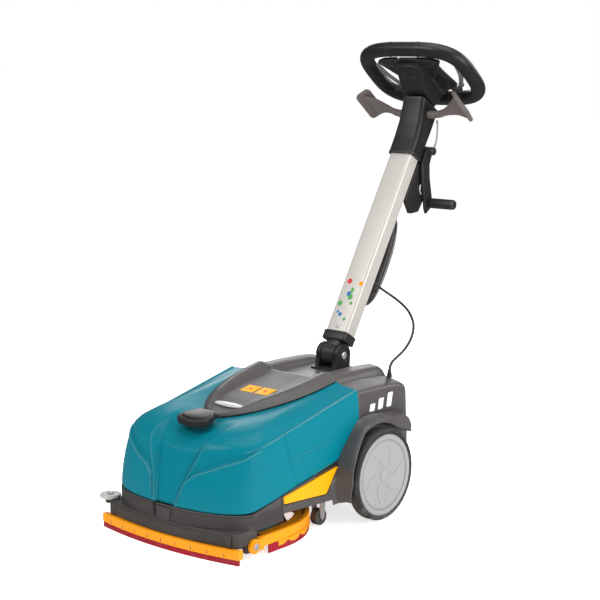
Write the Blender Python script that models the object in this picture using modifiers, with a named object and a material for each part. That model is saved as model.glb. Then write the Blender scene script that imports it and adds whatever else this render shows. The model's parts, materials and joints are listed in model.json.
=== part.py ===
"""Walk-behind floor scrubber: folding handle, lift-off lid, brush deck, two squeegees and two wheels.

Frame: metres, +Z up, the machine drives towards -Y, its left side is -X.  The origin is on the
floor, under the middle of the machine's bounding box.
"""
import math

import bmesh
import bpy
from mathutils import Euler, Vector

# ---------------------------------------------------------------- driving dimensions (metres)
GAP = 0.0004                    # clearance kept between touching pieces
WALL = 0.003                    # moulded shell thickness

WHEEL_RADIUS = 0.110
HUB_RADIUS = 0.0985
WHEEL_INNER_X = 0.2256
WHEEL_OUTER_X = 0.2586
AXLE = Vector((0.0, -0.0448, WHEEL_RADIUS))
AXLE_RADIUS = 0.008

BRUSH = Vector((0.0, -0.346, 0.0))
BRUSH_RADIUS = 0.165
DECK_CAVITY = 0.176             # radius of the round brush cavity
DECK_HALF = 0.2055
DECK_FRONT = -0.532
DECK_BOW = 0.022                # how far the middle of the front bulges past its corners
DECK_BOTTOM = 0.034
DECK_LEDGE = 0.0655             # top of the lower, wider tier
DECK_TOP = 0.0995
DECK_STEP_Y = -0.3603           # where the deck narrows to fit between the side panels
DECK_REAR = -0.150
SKIRT_BOTTOM = 0.079            # lower edge behind the front corners
SIDE_INNER = 0.1905
SIDE_OUTER = 0.2085
BODY_REAR = 0.108

TANK_REAR = -0.082
LID_HALF = 0.137
LID_TIP = -0.371
LID_WIDEST = -0.087

WALL_ROLLER = Vector((-0.2150, -0.4920, 0.0710))
SQUEEGEE_PIVOT = Vector((0.0, -0.458, 0.030))
SQUEEGEE_RADIUS = 0.2095        # outer radius of the rear squeegee carrier
SQUEEGEE_BAND = 0.0135
FRONT_SQUEEGEE_HALF = 0.2165

HANDLE_PIVOT = Vector((0.0, 0.0737, 0.3508))
HANDLE_LEAN = math.radians(31.35)
HEAD_LEAN = math.radians(38.6)
KNUCKLE_RADIUS = 0.0285
TUBE_HALF_X = 0.0336
TUBE_HALF_Y = 0.0214
TUBE_WALL = 0.0025
TUBE_START = 0.0560             # distances along the handle, measured from its pivot
TUBE_END = 0.5595
HEAD_BACK = -0.0482             # the steering loop's centre, in the handle's own frame
HEAD_UP = 0.7809
LOOP_HALF = 0.154
LOOP_LENGTH = 0.103
LOOP_TUBE = 0.0192
LOOP_SQUARENESS = 3.3
LIFT_PIVOT = Vector((0.0480, 0.0366, 0.5998))
LIFT_LENGTH = 0.1360
PADDLE_TILT = math.radians(46.7)

# ---------------------------------------------------------------- colours (linear), roughness, metallic
FINISHES = {
    "teal_plastic": ((0.001, 0.195, 0.262), 0.38, 0.0),
    "grey_plastic": ((0.112, 0.104, 0.103), 0.50, 0.0),
    "dark_plastic": ((0.073, 0.064, 0.063), 0.55, 0.0),
    "black_plastic": ((0.030, 0.026, 0.025), 0.50, 0.0),
    "yellow_plastic": ((0.980, 0.480, 0.003), 0.42, 0.0),
    "orange_plastic": ((1.000, 0.376, 0.000), 0.42, 0.0),
    "red_rubber": ((0.420, 0.018, 0.040), 0.60, 0.0),
    "tyre_rubber": ((0.040, 0.040, 0.039), 0.75, 0.0),
    "hub_plastic": ((0.420, 0.420, 0.430), 0.45, 0.0),
    "lever_plastic": ((0.115, 0.095, 0.088), 0.50, 0.0),
    "aluminium": ((0.680, 0.660, 0.620), 0.35, 0.6),
    "bare_steel": ((0.560, 0.560, 0.570), 0.30, 1.0),
    "pale_plastic": ((0.540, 0.540, 0.520), 0.50, 0.0),
    "badge_silver": ((0.600, 0.600, 0.620), 0.30, 0.8),
    "nylon_bristle": ((0.080, 0.160, 0.300), 0.60, 0.0),
    "cable_black": ((0.018, 0.018, 0.018), 0.55, 0.0),
    "battery_grey": ((0.150, 0.155, 0.160), 0.55, 0.0),
}

PARTS = None
CUTTERS = None


# ---------------------------------------------------------------- scene and material helpers
def clear_scene():
    for old in list(bpy.data.objects):
        bpy.data.objects.remove(old, do_unlink=True)


def new_collection(name):
    collection = bpy.data.collections.new(name)
    bpy.context.scene.collection.children.link(collection)
    return collection


def finish(name):
    """The Principled material of a finish, made on first use."""
    material = bpy.data.materials.get(name)
    if material is None:
        colour, roughness, metallic = FINISHES[name]
        material = bpy.data.materials.new(name)
        material.use_nodes = True
        shader = material.node_tree.nodes["Principled BSDF"]
        shader.inputs["Base Color"].default_value = (*colour, 1.0)
        shader.inputs["Roughness"].default_value = roughness
        shader.inputs["Metallic"].default_value = metallic
        material.diffuse_color = (*colour, 1.0)
    return material


def axis_empty(name, location, rotation=(0.0, 0.0, 0.0), parent=None):
    """An empty that stands on a joint's axis and carries the pieces that turn with it."""
    empty = bpy.data.objects.new(name, None)
    empty.location = location
    empty.rotation_euler = rotation
    empty.parent = parent
    empty.empty_display_size = 0.03
    PARTS.objects.link(empty)
    return empty


def add_object(name, mesh, look, parent=None, location=(0, 0, 0), rotation=(0, 0, 0)):
    piece = bpy.data.objects.new(name, mesh)
    piece.location = location
    piece.rotation_euler = rotation
    piece.parent = parent
    mesh.materials.clear()
    mesh.materials.append(finish(look))
    PARTS.objects.link(piece)
    return piece


def as_cutter(piece):
    """Move a helper shape to the cutters' collection and hide it from renders."""
    PARTS.objects.unlink(piece)
    CUTTERS.objects.link(piece)
    piece.hide_render = True
    piece.display_type = "WIRE"
    return piece


def boolean(piece, other, operation):
    as_cutter(other)
    modifier = piece.modifiers.new(operation.title(), "BOOLEAN")
    modifier.operation = operation
    modifier.object = other
    modifier.solver = "EXACT"
    return piece


def cut(piece, *others):
    for other in others:
        boolean(piece, other, "DIFFERENCE")
    return piece


def join(piece, *others):
    for other in others:
        boolean(piece, other, "UNION")
    return piece


def bevel(piece, width, segments=2, angle=35.0):
    modifier = piece.modifiers.new("Bevel", "BEVEL")
    modifier.width = width
    modifier.segments = segments
    modifier.limit_method = "ANGLE"
    modifier.angle_limit = math.radians(angle)
    return piece


def smooth(mesh, angle=35.0):
    mesh.shade_smooth()
    mesh.set_sharp_from_angle(angle=math.radians(angle))
    return mesh


# ---------------------------------------------------------------- shape helpers
AXIS_TURN = {
    "X": Euler((0.0, math.pi / 2, 0.0)),
    "Y": Euler((-math.pi / 2, 0.0, 0.0)),
    "Z": Euler((0.0, 0.0, 0.0)),
}
FACE_TURN = {
    "X": Euler((math.pi / 2, 0.0, math.pi / 2)),
    "Y": Euler((math.pi / 2, 0.0, 0.0)),
    "Z": Euler((0.0, 0.0, 0.0)),
}


def box(name, size, centre, look, parent=None, rotation=(0, 0, 0), edge=0.0, segments=2):
    work = bmesh.new()
    bmesh.ops.create_cube(work, size=1.0)
    bmesh.ops.scale(work, vec=size, verts=work.verts)
    mesh = bpy.data.meshes.new(name)
    work.to_mesh(mesh)
    work.free()
    piece = add_object(name, mesh, look, parent, centre, rotation)
    if edge:
        bevel(piece, edge, segments)
    return piece


def span_box(name, low, high, look, parent=None, edge=0.0, segments=2):
    """A box given by its lowest and highest corners."""
    low = Vector(low)
    high = Vector(high)
    return box(name, high - low, (low + high) / 2, look, parent, edge=edge, segments=segments)


def cylinder(name, radius, length, centre, axis, look, parent=None, sides=32, edge=0.0, segments=1):
    work = bmesh.new()
    bmesh.ops.create_cone(work, cap_ends=True, segments=sides, radius1=radius, radius2=radius, depth=length)
    mesh = bpy.data.meshes.new(name)
    work.to_mesh(mesh)
    work.free()
    piece = add_object(name, smooth(mesh), look, parent, centre, AXIS_TURN[axis])
    if edge:
        bevel(piece, edge, segments, 50.0)
    return piece


def turned(name, profile, centre, axis, look, parent=None, steps=32, closed=False):
    """A turned piece.  The profile is (radius, height) points down its outer side, top to bottom."""
    work = bmesh.new()
    points = [work.verts.new((radius, 0.0, height)) for radius, height in profile]
    pairs = list(zip(points[:-1], points[1:]))
    if closed:
        pairs.append((points[-1], points[0]))
    for first, second in pairs:
        work.edges.new((first, second))
    mesh = bpy.data.meshes.new(name)
    work.to_mesh(mesh)
    work.free()
    piece = add_object(name, mesh, look, parent, centre, AXIS_TURN[axis])
    screw = piece.modifiers.new("Screw", "SCREW")
    screw.steps = steps
    screw.render_steps = steps
    screw.use_merge_vertices = True
    screw.merge_threshold = 0.00005
    screw.use_smooth_shade = True
    return piece


def mesh_of(source):
    """The welded mesh of a curve object, which is then removed."""
    bpy.context.view_layer.update()
    seen = source.evaluated_get(bpy.context.evaluated_depsgraph_get())
    mesh = bpy.data.meshes.new_from_object(seen)
    work = bmesh.new()
    work.from_mesh(mesh)
    bmesh.ops.remove_doubles(work, verts=work.verts, dist=0.00002)
    work.to_mesh(mesh)
    work.free()
    bpy.data.objects.remove(source, do_unlink=True)
    return mesh


def plate(name, outline, thickness, centre, facing, look, parent=None, edge=0.0, segments=2):
    """A flat outline given in its own plane, with its thickness along the facing axis."""
    curve = bpy.data.curves.new(name, "CURVE")
    curve.dimensions = "2D"
    curve.fill_mode = "BOTH"
    curve.extrude = thickness / 2
    spline = curve.splines.new("POLY")
    spline.points.add(len(outline) - 1)
    for point, (across, up) in zip(spline.points, outline):
        point.co = (across, up, 0.0, 1.0)
    spline.use_cyclic_u = True
    source = bpy.data.objects.new(name, curve)
    bpy.context.scene.collection.objects.link(source)
    mesh = smooth(mesh_of(source))
    piece = add_object(name, mesh, look, parent, centre, FACE_TURN[facing])
    if edge:
        bevel(piece, edge, segments)
    return piece


def tube(name, points, radius, look, parent=None, cyclic=False, resolution=3):
    curve = bpy.data.curves.new(name, "CURVE")
    curve.dimensions = "3D"
    curve.bevel_depth = radius
    curve.bevel_resolution = resolution
    curve.use_fill_caps = not cyclic
    spline = curve.splines.new("POLY")
    spline.points.add(len(points) - 1)
    for point, place in zip(spline.points, points):
        point.co = (*place, 1.0)
    spline.use_cyclic_u = cyclic
    spline.use_smooth = True
    source = bpy.data.objects.new(name, curve)
    bpy.context.scene.collection.objects.link(source)
    return add_object(name, smooth(mesh_of(source), 60.0), look, parent)


def loft(name, rings, look, parent=None, capped=True, location=(0, 0, 0), rotation=(0, 0, 0)):
    """Join rings of equal point counts, each counter-clockwise seen from the last ring's side."""
    work = bmesh.new()
    rows = [[work.verts.new(point) for point in ring] for ring in rings]
    count = len(rings[0])
    for lower, upper in zip(rows[:-1], rows[1:]):
        for index in range(count):
            after = (index + 1) % count
            work.faces.new((lower[index], lower[after], upper[after], upper[index]))
    if capped:
        work.faces.new(list(reversed(rows[0])))
        work.faces.new(rows[-1])
    mesh = bpy.data.meshes.new(name)
    work.to_mesh(mesh)
    work.free()
    return add_object(name, smooth(mesh), look, parent, location, rotation)


def sheet(name, rows, thickness, look, parent=None, location=(0, 0, 0)):
    """A shell: an open grid of points that is given a thickness on its inner side."""
    work = bmesh.new()
    grid = [[work.verts.new(point) for point in row] for row in rows]
    for lower, upper in zip(grid[:-1], grid[1:]):
        for index in range(len(lower) - 1):
            work.faces.new((lower[index], lower[index + 1], upper[index + 1], upper[index]))
    mesh = bpy.data.meshes.new(name)
    work.to_mesh(mesh)
    work.free()
    piece = add_object(name, smooth(mesh, 30.0), look, parent, location)
    solidify = piece.modifiers.new("Solidify", "SOLIDIFY")
    solidify.thickness = thickness
    solidify.offset = -1.0
    solidify.use_even_offset = False
    return piece


def arc(centre, radius, start, end, count):
    """Points of an arc from start to end, in degrees."""
    points = []
    for index in range(count + 1):
        angle = math.radians(start + (end - start) * index / count)
        points.append((centre[0] + radius * math.cos(angle), centre[1] + radius * math.sin(angle)))
    return points


def rounded_rectangle(half_x, half_y, radius, count=4):
    """Counter-clockwise outline of a rectangle with round corners, centred on (0, 0)."""
    outline = []
    for number, (side_x, side_y) in enumerate(((1, 1), (-1, 1), (-1, -1), (1, -1))):
        corner = (side_x * (half_x - radius), side_y * (half_y - radius))
        outline += arc(corner, radius, 90.0 * number, 90.0 * (number + 1), count)
    return outline


def smooth_route(route, spacing):
    """Evenly spaced points of a Catmull-Rom curve through the route's points."""
    ends = [2 * route[0] - route[1], *route, 2 * route[-1] - route[-2]]
    fine = []
    steps = 24
    for index in range(1, len(ends) - 2):
        before, first, second, after = ends[index - 1:index + 3]
        for step in range(steps):
            t = step / steps
            fine.append(0.5 * (2 * first + (second - before) * t
                               + (2 * before - 5 * first + 4 * second - after) * t ** 2
                               + (3 * first - before - 3 * second + after) * t ** 3))
    fine.append(route[-1])
    total = sum((b - a).length for a, b in zip(fine[:-1], fine[1:]))
    wanted = max(2, round(total / spacing))
    points = [fine[0]]
    walked = 0.0
    for a, b in zip(fine[:-1], fine[1:]):
        walked += (b - a).length
        if walked >= len(points) * total / wanted - 1e-6 and len(points) < wanted:
            points.append(b)
    points.append(fine[-1])
    return points


def mirrored(name):
    """The two sides of the machine: a name prefix and the sign of X."""
    return ((f"left_{name}", -1.0), (f"right_{name}", 1.0))


# ---------------------------------------------------------------- body surfaces
SIDE_SHARE = 0.42               # share of each level's outline that runs round the front


def lid_half_width(y):
    reach = max(0.0, (LID_WIDEST - y) / (LID_WIDEST - LID_TIP))
    return LID_HALF * max(0.0, 1.0 - reach ** 2) ** 0.62


def lid_edge_height(y):
    return 0.270 + 0.190 * (y - LID_TIP)


def tank_lower_edge(y):
    """Height of the tank's lower edge: level in front, rising along the side, steep at the back."""
    rise = 0.200 * max(0.0, min(y, -0.135) + 0.455)
    return DECK_TOP + 0.0008 + rise + 0.95 * max(0.0, y + 0.135)


def tank_crease_height(y):
    return 0.237 + 0.218 * (y + 0.445)


# level: half width, where the round front starts, front of the middle, squareness
TANK_LEVELS = (
    (0.2055, -0.440, -0.527, 2.2),
    (0.2060, -0.430, -0.516, 2.2),
    (0.2000, -0.410, -0.491, 2.3),
    (0.1650, -0.360, -0.452, 2.1),
)


def tank_level_point(level, along):
    """A point of one level.  Along is -1 at the left rear, 0 in front and 1 at the right rear."""
    share = abs(along)
    if level == 4:
        bend, front = -0.200, LID_TIP
    else:
        half, bend, front, squareness = TANK_LEVELS[level]
    if share > SIDE_SHARE:
        y = bend + (TANK_REAR - bend) * (share - SIDE_SHARE) / (1.0 - SIDE_SHARE)
        x = lid_half_width(y) if level == 4 else half
    else:
        turn = math.pi / 2 * share / SIDE_SHARE
        if level == 4:
            y = bend - (bend - front) * math.cos(turn)
            x = lid_half_width(y)
        else:
            y = bend - (bend - front) * math.cos(turn) ** (2 / squareness)
            x = half * math.sin(turn) ** (2 / squareness)
    low = tank_lower_edge(y)
    crease = tank_crease_height(y)
    valley = 0.017 * math.exp(-(x / 0.065) ** 2)
    height = (low, (low + crease) / 2, crease, 0.277 + 0.150 * (y + 0.396) - valley, lid_edge_height(y))
    return Vector((math.copysign(x, along), y, height[level]))


def tank_point(along, up):
    """A point of the tank's outside: up is 0 at the lower edge, 1 at the crease and 2 at the lid."""
    base = 0 if up <= 1.0 else 2
    share = up if up <= 1.0 else up - 1.0
    start, middle, end = (tank_level_point(base + step, along) for step in range(3))
    control = 2 * middle - (start + end) / 2
    return start * (1 - share) ** 2 + control * 2 * share * (1 - share) + end * share ** 2


LID_PROFILE = ((0.00, 0.0075), (0.30, 0.0075), (0.52, 0.0085), (0.62, 0.0150), (0.72, 0.0190),
               (0.82, 0.0170), (0.92, 0.0100), (1.00, 0.0035))


def lid_height(share):
    """Height of the lid over its edge line: a sunk channel between two ridges."""
    for (low, low_height), (high, high_height) in zip(LID_PROFILE[:-1], LID_PROFILE[1:]):
        if share <= high:
            return low_height + (high_height - low_height) * (share - low) / (high - low)
    return LID_PROFILE[-1][1]


# ---------------------------------------------------------------- body pieces
def deck_outline():
    """Plan of the brush deck: bowed front, round front corners, narrower behind the step."""
    front = []
    steps = 12
    reach = DECK_HALF - 0.014
    for index in range(steps + 1):
        x = -reach + 2 * reach * index / steps
        front.append((x, DECK_FRONT + DECK_BOW * (x / reach) ** 2))
    corner_y = DECK_FRONT + DECK_BOW + 0.014
    right = arc((reach, corner_y), 0.014, -80.0, 0.0, 4)
    left = arc((-reach, corner_y), 0.014, 180.0, 260.0, 4)
    rear_half = SIDE_INNER - GAP
    rear = [(DECK_HALF, DECK_STEP_Y), (rear_half, DECK_STEP_Y), (rear_half, DECK_REAR),
            (-rear_half, DECK_REAR), (-rear_half, DECK_STEP_Y), (-DECK_HALF, DECK_STEP_Y)]
    return front + right + rear + left


def deck_collar_outline():
    """Plan of the deck's upper tier, which follows the tank's lower edge."""
    steps = 40
    ring = [tank_level_point(0, -1.0 + 2.0 * index / steps) for index in range(steps + 1)]
    front = [(point.x * 1.002, point.y - 0.001) for point in ring if point.y < DECK_STEP_Y + 0.004]
    return front + [(front[-1][0], DECK_STEP_Y), (front[0][0], DECK_STEP_Y)]


def build_brush_deck():
    middle = (DECK_BOTTOM + DECK_LEDGE) / 2
    deck = plate("brush_deck", deck_outline(), DECK_LEDGE - DECK_BOTTOM, (0, 0, middle), "Z", "dark_plastic")
    collar = plate("deck_collar", deck_collar_outline(), DECK_TOP - DECK_LEDGE + 0.002,
                   (0, 0, (DECK_TOP + DECK_LEDGE) / 2 - 0.001), "Z", "dark_plastic")
    rear_half = SIDE_INNER - GAP
    floor = span_box("deck_floor", (-rear_half, DECK_STEP_Y - 0.010, 0.060), (rear_half, DECK_REAR, DECK_TOP - 0.0001),
                     "dark_plastic")
    roller_ear = cylinder("roller_ear", 0.0120, 0.0100, (WALL_ROLLER.x, WALL_ROLLER.y, DECK_LEDGE - 0.0055), "Z",
                          "dark_plastic", sides=24)
    join(deck, collar, floor, roller_ear)
    for side in (-1.0, 1.0):
        edge = [(-0.4547, DECK_TOP - 0.01), (DECK_STEP_Y, DECK_TOP - 0.01),
                (DECK_STEP_Y, tank_lower_edge(DECK_STEP_Y) - 0.0008), (-0.4547, DECK_TOP)]
        wedge = plate("deck_wedge", edge, 0.012, (side * (DECK_HALF - 0.006), 0, 0), "X", "dark_plastic")
        lug = span_box("deck_lug", (side * 0.1960 - 0.0070, -0.474, 0.014),
                       (side * 0.1960 + 0.0070, -0.444, 0.060), "dark_plastic")
        join(deck, wedge, lug)
    cavity = cylinder("deck_cavity", DECK_CAVITY, 0.12, (0, BRUSH.y, 0.088 - 0.06), "Z", "dark_plastic", sides=48)
    skirt = span_box("deck_skirt", (-0.25, -0.4435, 0.0), (0.25, -0.10, SKIRT_BOTTOM), "dark_plastic")
    shaft = cylinder("deck_shaft_hole", 0.024, 0.06, (0, BRUSH.y, 0.09), "Z", "dark_plastic")
    cut(deck, cavity, skirt, shaft)
    for side in (-1.0, 1.0):
        bore = cylinder("lug_bore", 0.0044, 0.010, (side * 0.2005, SQUEEGEE_PIVOT.y, SQUEEGEE_PIVOT.z),
                        "X", "dark_plastic", sides=16)
        cut(deck, bore)
    return deck


def build_chassis_base():
    half = SIDE_INNER - GAP
    base = span_box("chassis_base", (-half, DECK_REAR + GAP, 0.0810), (half, BODY_REAR - 0.0065, DECK_TOP),
                    "dark_plastic")
    for side in (-1.0, 1.0):
        for y in (-0.125, 0.070):
            rib = span_box("base_rib", (side * 0.120 - 0.004, y - 0.020, 0.0740),
                           (side * 0.120 + 0.004, y + 0.020, 0.0850), "dark_plastic")
            join(base, rib)
    return base


def side_panel_outline():
    """Side view of a side panel: rising top edge, flat foot, and a back that follows the wheel."""
    top = [(y, tank_lower_edge(y) - 0.0008) for y in (-0.135, -0.240, -0.359)]
    shoulder = [(BODY_REAR, 0.2185), (TANK_REAR + 0.001, 0.2185), (TANK_REAR + 0.001, 0.2100)]
    foot = [(-0.359, 0.0790), (-0.123, 0.0675), (-0.085, 0.0690)]
    back = [(-0.058, 0.0865), (0.050, 0.0865), (BODY_REAR - 0.010, 0.120), (BODY_REAR, 0.150)]
    return foot + back + shoulder + top


def build_side_panels():
    for name, side in mirrored("side_panel"):
        middle = side * (SIDE_INNER + SIDE_OUTER) / 2
        panel = plate(name, side_panel_outline(), SIDE_OUTER - SIDE_INNER, (middle, 0, 0), "X", "grey_plastic")
        axle = (AXLE.y, AXLE.z)
        outer = [(0.0860, 0.1880), (0.0890, 0.2030), (0.0780, 0.2230), (0.0570, 0.2370), (0.0360, 0.2385),
                 (-0.0130, 0.2360), (-0.0860, 0.2340), (-0.1080, 0.2150)]
        flare = outer + arc(axle, 0.1215, 118.0, 58.0, 10) + [(0.0450, 0.2010)]
        arch = plate("wheel_arch", flare, 0.032, (side * (SIDE_OUTER + 0.0140), 0, 0), "X", "grey_plastic")
        join(panel, arch)
        pocket = [(-0.3555, 0.0985), (-0.2030, 0.0885), (-0.1580, 0.1500), (-0.1550, 0.1900),
                  (-0.2450, 0.1900), (-0.2450, 0.1375), (-0.3580, 0.1190)]
        recess = plate("latch_pocket", pocket, 0.017, (side * SIDE_OUTER, 0, 0), "X", "grey_plastic")
        bore = cylinder("axle_bore", AXLE_RADIUS + 0.0006, 0.06, (middle, AXLE.y, AXLE.z), "X", "grey_plastic")
        cut(panel, recess, bore)


def housing_section(y, drop):
    """Cross-section of the rear housing's outside, from the right foot over the top to the left."""
    half = [(0.2058, 0.2190), (0.2030, 0.2950 - drop), (0.1970, 0.3060 - drop), (0.1850, 0.3100 - drop),
            (0.1500, 0.3180 - drop), (0.1400, 0.3190 - drop), (0.1320, 0.3270 - drop / 2),
            (0.1180, 0.3350 - drop / 2), (0.0900, 0.3380 - drop / 2), (0.0740, 0.3330 - drop / 2),
            (0.0620, 0.3190), (0.0500, 0.3160)]
    right = [Vector((x, y, z)) for x, z in half]
    left = [Vector((-x, y, z)) for x, z in reversed(half)]
    return right + left


def build_rear_housing():
    """The hood over the wheels: an arched shell, closed behind by the rear cover."""
    hood_rear = BODY_REAR - 0.006
    rows = [housing_section(TANK_REAR + 0.0006, 0.000), housing_section(0.010, 0.001),
            housing_section(0.080, 0.005), housing_section(hood_rear, 0.010)]
    sheet("rear_housing", list(reversed(rows)), 0.0035, "grey_plastic")
    half = SIDE_INNER - GAP
    outline = [(point.x, point.z) for point in housing_section(hood_rear, 0.010)]
    outline += [(-half, 0.2190), (-half, 0.0860), (-half + 0.005, 0.0810), (half - 0.005, 0.0810),
                (half, 0.0860), (half, 0.2190)]
    thickness = BODY_REAR - hood_rear - GAP
    plate("rear_cover", outline, thickness, (0, BODY_REAR - thickness / 2, 0), "Y", "grey_plastic")


def build_tank_shell():
    columns = 40
    levels = [0.0, 0.35, 0.7, 1.0, 1.16, 1.34, 1.55, 1.78, 2.0]
    rows = []
    for up in levels:
        rows.append([tank_point(-1.0 + 2.0 * index / columns, up) for index in range(columns + 1)])
    return sheet("tank_shell", rows, WALL, "teal_plastic")


def build_lid(pivot):
    """The lid: sunk channel, two ridges, pointed front.  It is open below and hinged at its rear."""
    across = 16
    along = 13
    rows = []
    for row in range(along + 1):
        share = row / along
        y = TANK_REAR - 0.001 + (LID_TIP + 0.006 - TANK_REAR) * math.sin(share * math.pi / 2)
        width = max(0.004, lid_half_width(y) + 0.0012)
        fade = min(1.0, (y - LID_TIP) / 0.100)
        points = []
        for column in range(across + 1):
            place = -1.0 + 2.0 * column / across
            height = 0.0040 + (lid_height(abs(place)) - 0.0035) * (0.35 + 0.65 * fade)
            points.append(Vector((width * place, y, lid_edge_height(y) + height)) - pivot.location)
        rows.append(points)
    return sheet("lid", list(reversed(rows)), 0.0028, "grey_plastic", pivot)


def build_lid_badge(pivot):
    y = -0.315
    outline = [(0.030 * math.cos(turn), 0.0085 * math.sin(turn))
               for turn in (math.tau * index / 28 for index in range(28))]
    badge = plate("lid_badge", outline, 0.0016, (0, 0, 0), "Z", "badge_silver", pivot)
    badge.location = Vector((0.0, y, lid_edge_height(y) + 0.0096)) - pivot.location
    badge.rotation_euler = (math.atan(0.190), 0.0, 0.0)
    return badge


def build_lid_latch(pivot):
    """Grip of the lid's front latch: wide in front, narrower where it meets the lid's tip."""
    outline = [(-0.046, -0.058), (-0.034, -0.074), (0.0, -0.079), (0.034, -0.074), (0.046, -0.058),
               (0.043, -0.034), (0.026, -0.006), (-0.026, -0.006), (-0.043, -0.034)]
    latch = plate("lid_latch", outline, 0.0165, (0, 0, 0), "Z", "black_plastic", pivot, edge=0.005, segments=3)
    latch.rotation_euler = (math.radians(9.0), 0.0, 0.0)
    return latch


def build_side_latches():
    for name, side in mirrored("side_latch"):
        low_front = Vector((side * 0.2048, -0.3530, 0.1035))
        low_rear = Vector((side * 0.2048, -0.2060, 0.0935))
        pivot = axis_empty(f"{name}_axis", (low_front + low_rear) / 2)
        centre = pivot.location
        corners = [(-0.3535, 0.0998), (-0.2045, 0.0898), (-0.1610, 0.1475), (-0.3565, 0.1175)]
        outline = [(y - centre.y, z - centre.z) for y, z in corners]
        plate(name, outline, 0.0078, (0, 0, 0), "X", "yellow_plastic", pivot, edge=0.0035, segments=2)


# ---------------------------------------------------------------- inside pieces
def build_inside():
    cylinder("brush_motor", 0.062, 0.078, (0, BRUSH.y, DECK_TOP + GAP + 0.039), "Z", "bare_steel", edge=0.004)
    span_box("recovery_tank", (-0.120, -0.430, 0.1830), (0.120, -0.262, 0.2520), "pale_plastic", edge=0.012)
    span_box("solution_tank", (-0.175, -0.250, 0.1750), (0.175, -0.100, 0.2600), "pale_plastic", edge=0.012)
    span_box("battery_pack", (-0.110, -0.262, DECK_TOP + GAP), (0.110, -0.100, 0.1740), "battery_grey", edge=0.004)
    cylinder("vacuum_motor", 0.058, 0.095, (0.0, 0.030, 0.190), "X", "bare_steel", edge=0.005)
    cylinder("rear_axle", AXLE_RADIUS, 2 * 0.2500, AXLE, "X", "bare_steel", sides=24, edge=0.001)


# ---------------------------------------------------------------- wheels and rollers
def build_wheels():
    width = WHEEL_OUTER_X - WHEEL_INNER_X
    middle = (WHEEL_OUTER_X + WHEEL_INNER_X) / 2
    half = width / 2
    tread = [(WHEEL_RADIUS, half - 0.006), (WHEEL_RADIUS, -half + 0.006), (WHEEL_RADIUS - 0.004, -half + 0.001),
             (HUB_RADIUS + GAP, -half + 0.001), (HUB_RADIUS + GAP, half - 0.001),
             (WHEEL_RADIUS - 0.004, half - 0.001)]
    hub = [(0.0, half - 0.004), (0.014, half - 0.004), (0.016, half - 0.007), (0.080, half - 0.003),
           (0.094, half + 0.000), (HUB_RADIUS, half - 0.003), (HUB_RADIUS, -half + 0.003),
           (0.090, -half + 0.003), (0.088, half - 0.015), (0.022, half - 0.018), (0.021, -half + 0.001),
           (AXLE_RADIUS + 0.0006, -half + 0.001), (AXLE_RADIUS + 0.0006, half - 0.008), (0.0, half - 0.008)]
    for name, side in mirrored("wheel"):
        pivot = axis_empty(f"{name}_axis", (side * middle, AXLE.y, AXLE.z))
        turn = 0.0 if side > 0 else math.pi
        tyre = turned(name.replace("wheel", "tyre"), tread, (0, 0, 0), "X", "tyre_rubber", pivot, 44, closed=True)
        centre = turned(name.replace("wheel", "hub"), hub, (0, 0, 0), "X", "hub_plastic", pivot, 44)
        for piece in (tyre, centre):
            piece.rotation_euler = Euler((0.0, math.pi / 2 + turn, 0.0))


def build_support_rollers():
    """Small rollers behind the rear squeegee, each between the arms of a fork."""
    radius = 0.020
    y = -0.176
    for name, side in mirrored("support_roller"):
        middle = side * 0.1595
        pivot = axis_empty(f"{name}_axis", (middle, y, radius))
        profile = [(radius - 0.0015, 0.0100), (radius, 0.0080), (radius, -0.0080), (radius - 0.0015, -0.0100),
                   (0.0034, -0.0100), (0.0034, 0.0100)]
        turned(name, profile, (0, 0, 0), "X", "tyre_rubber", pivot, 20, closed=True)
        arms = []
        for arm_x in (-0.0125, 0.0125):
            arm_top = SKIRT_BOTTOM - radius - 0.002
            side_view = [(-0.007, 0.0), (0.0, -0.007), (0.007, 0.0), (0.010, arm_top), (-0.010, arm_top)]
            arms.append(plate("fork_arm", side_view, 0.003, (middle + arm_x, y, radius), "X", "bare_steel"))
        top = SKIRT_BOTTOM - GAP
        fork = span_box(name.replace("support_roller", "roller_fork"), (middle - 0.016, y - 0.012, top - 0.004),
                        (middle + 0.016, y + 0.012, top), "bare_steel")
        pin = cylinder("fork_pin", 0.0030, 0.0260, (middle, y, radius), "X", "bare_steel", sides=16)
        join(fork, *arms, pin)


def build_wall_roller():
    """Flat roller at the left front corner, on a pin that stands on a small bracket."""
    pivot = axis_empty("wall_roller_axis", WALL_ROLLER)
    profile = [(0.0230, 0.0045), (0.0250, 0.0030), (0.0250, -0.0030), (0.0230, -0.0045), (0.0042, -0.0045),
               (0.0042, 0.0045)]
    turned("wall_roller", profile, (0, 0, 0), "Z", "pale_plastic", pivot, 24, closed=True)
    base = DECK_LEDGE - 0.0005 + GAP - WALL_ROLLER.z
    pin = [(0.0, 0.0075), (0.0060, 0.0075), (0.0070, 0.0065), (0.0070, 0.0050), (0.0038, 0.0050), (0.0038, base),
           (0.0, base)]
    turned("wall_roller_pin", pin, WALL_ROLLER, "Z", "bare_steel", steps=20)


# ---------------------------------------------------------------- brush and squeegees
def build_brush():
    pivot = axis_empty("brush_axis", BRUSH)
    cylinder("brush_disc", 0.152, 0.018, (0, 0, 0.0390), "Z", "teal_plastic", pivot, 44, edge=0.003)
    bristles = [(0.146, 0.0296), (BRUSH_RADIUS, 0.0006), (0.070, 0.0006), (0.066, 0.0296)]
    turned("brush_bristles", bristles, (0, 0, 0), "Z", "nylon_bristle", pivot, 40, closed=True)
    coupling = [(0.0, 0.0960), (0.018, 0.0960), (0.018, 0.0700), (0.040, 0.0660), (0.044, 0.0484), (0.0, 0.0484)]
    turned("brush_coupling", coupling, (0, 0, 0), "Z", "black_plastic", pivot, 32)


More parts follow.
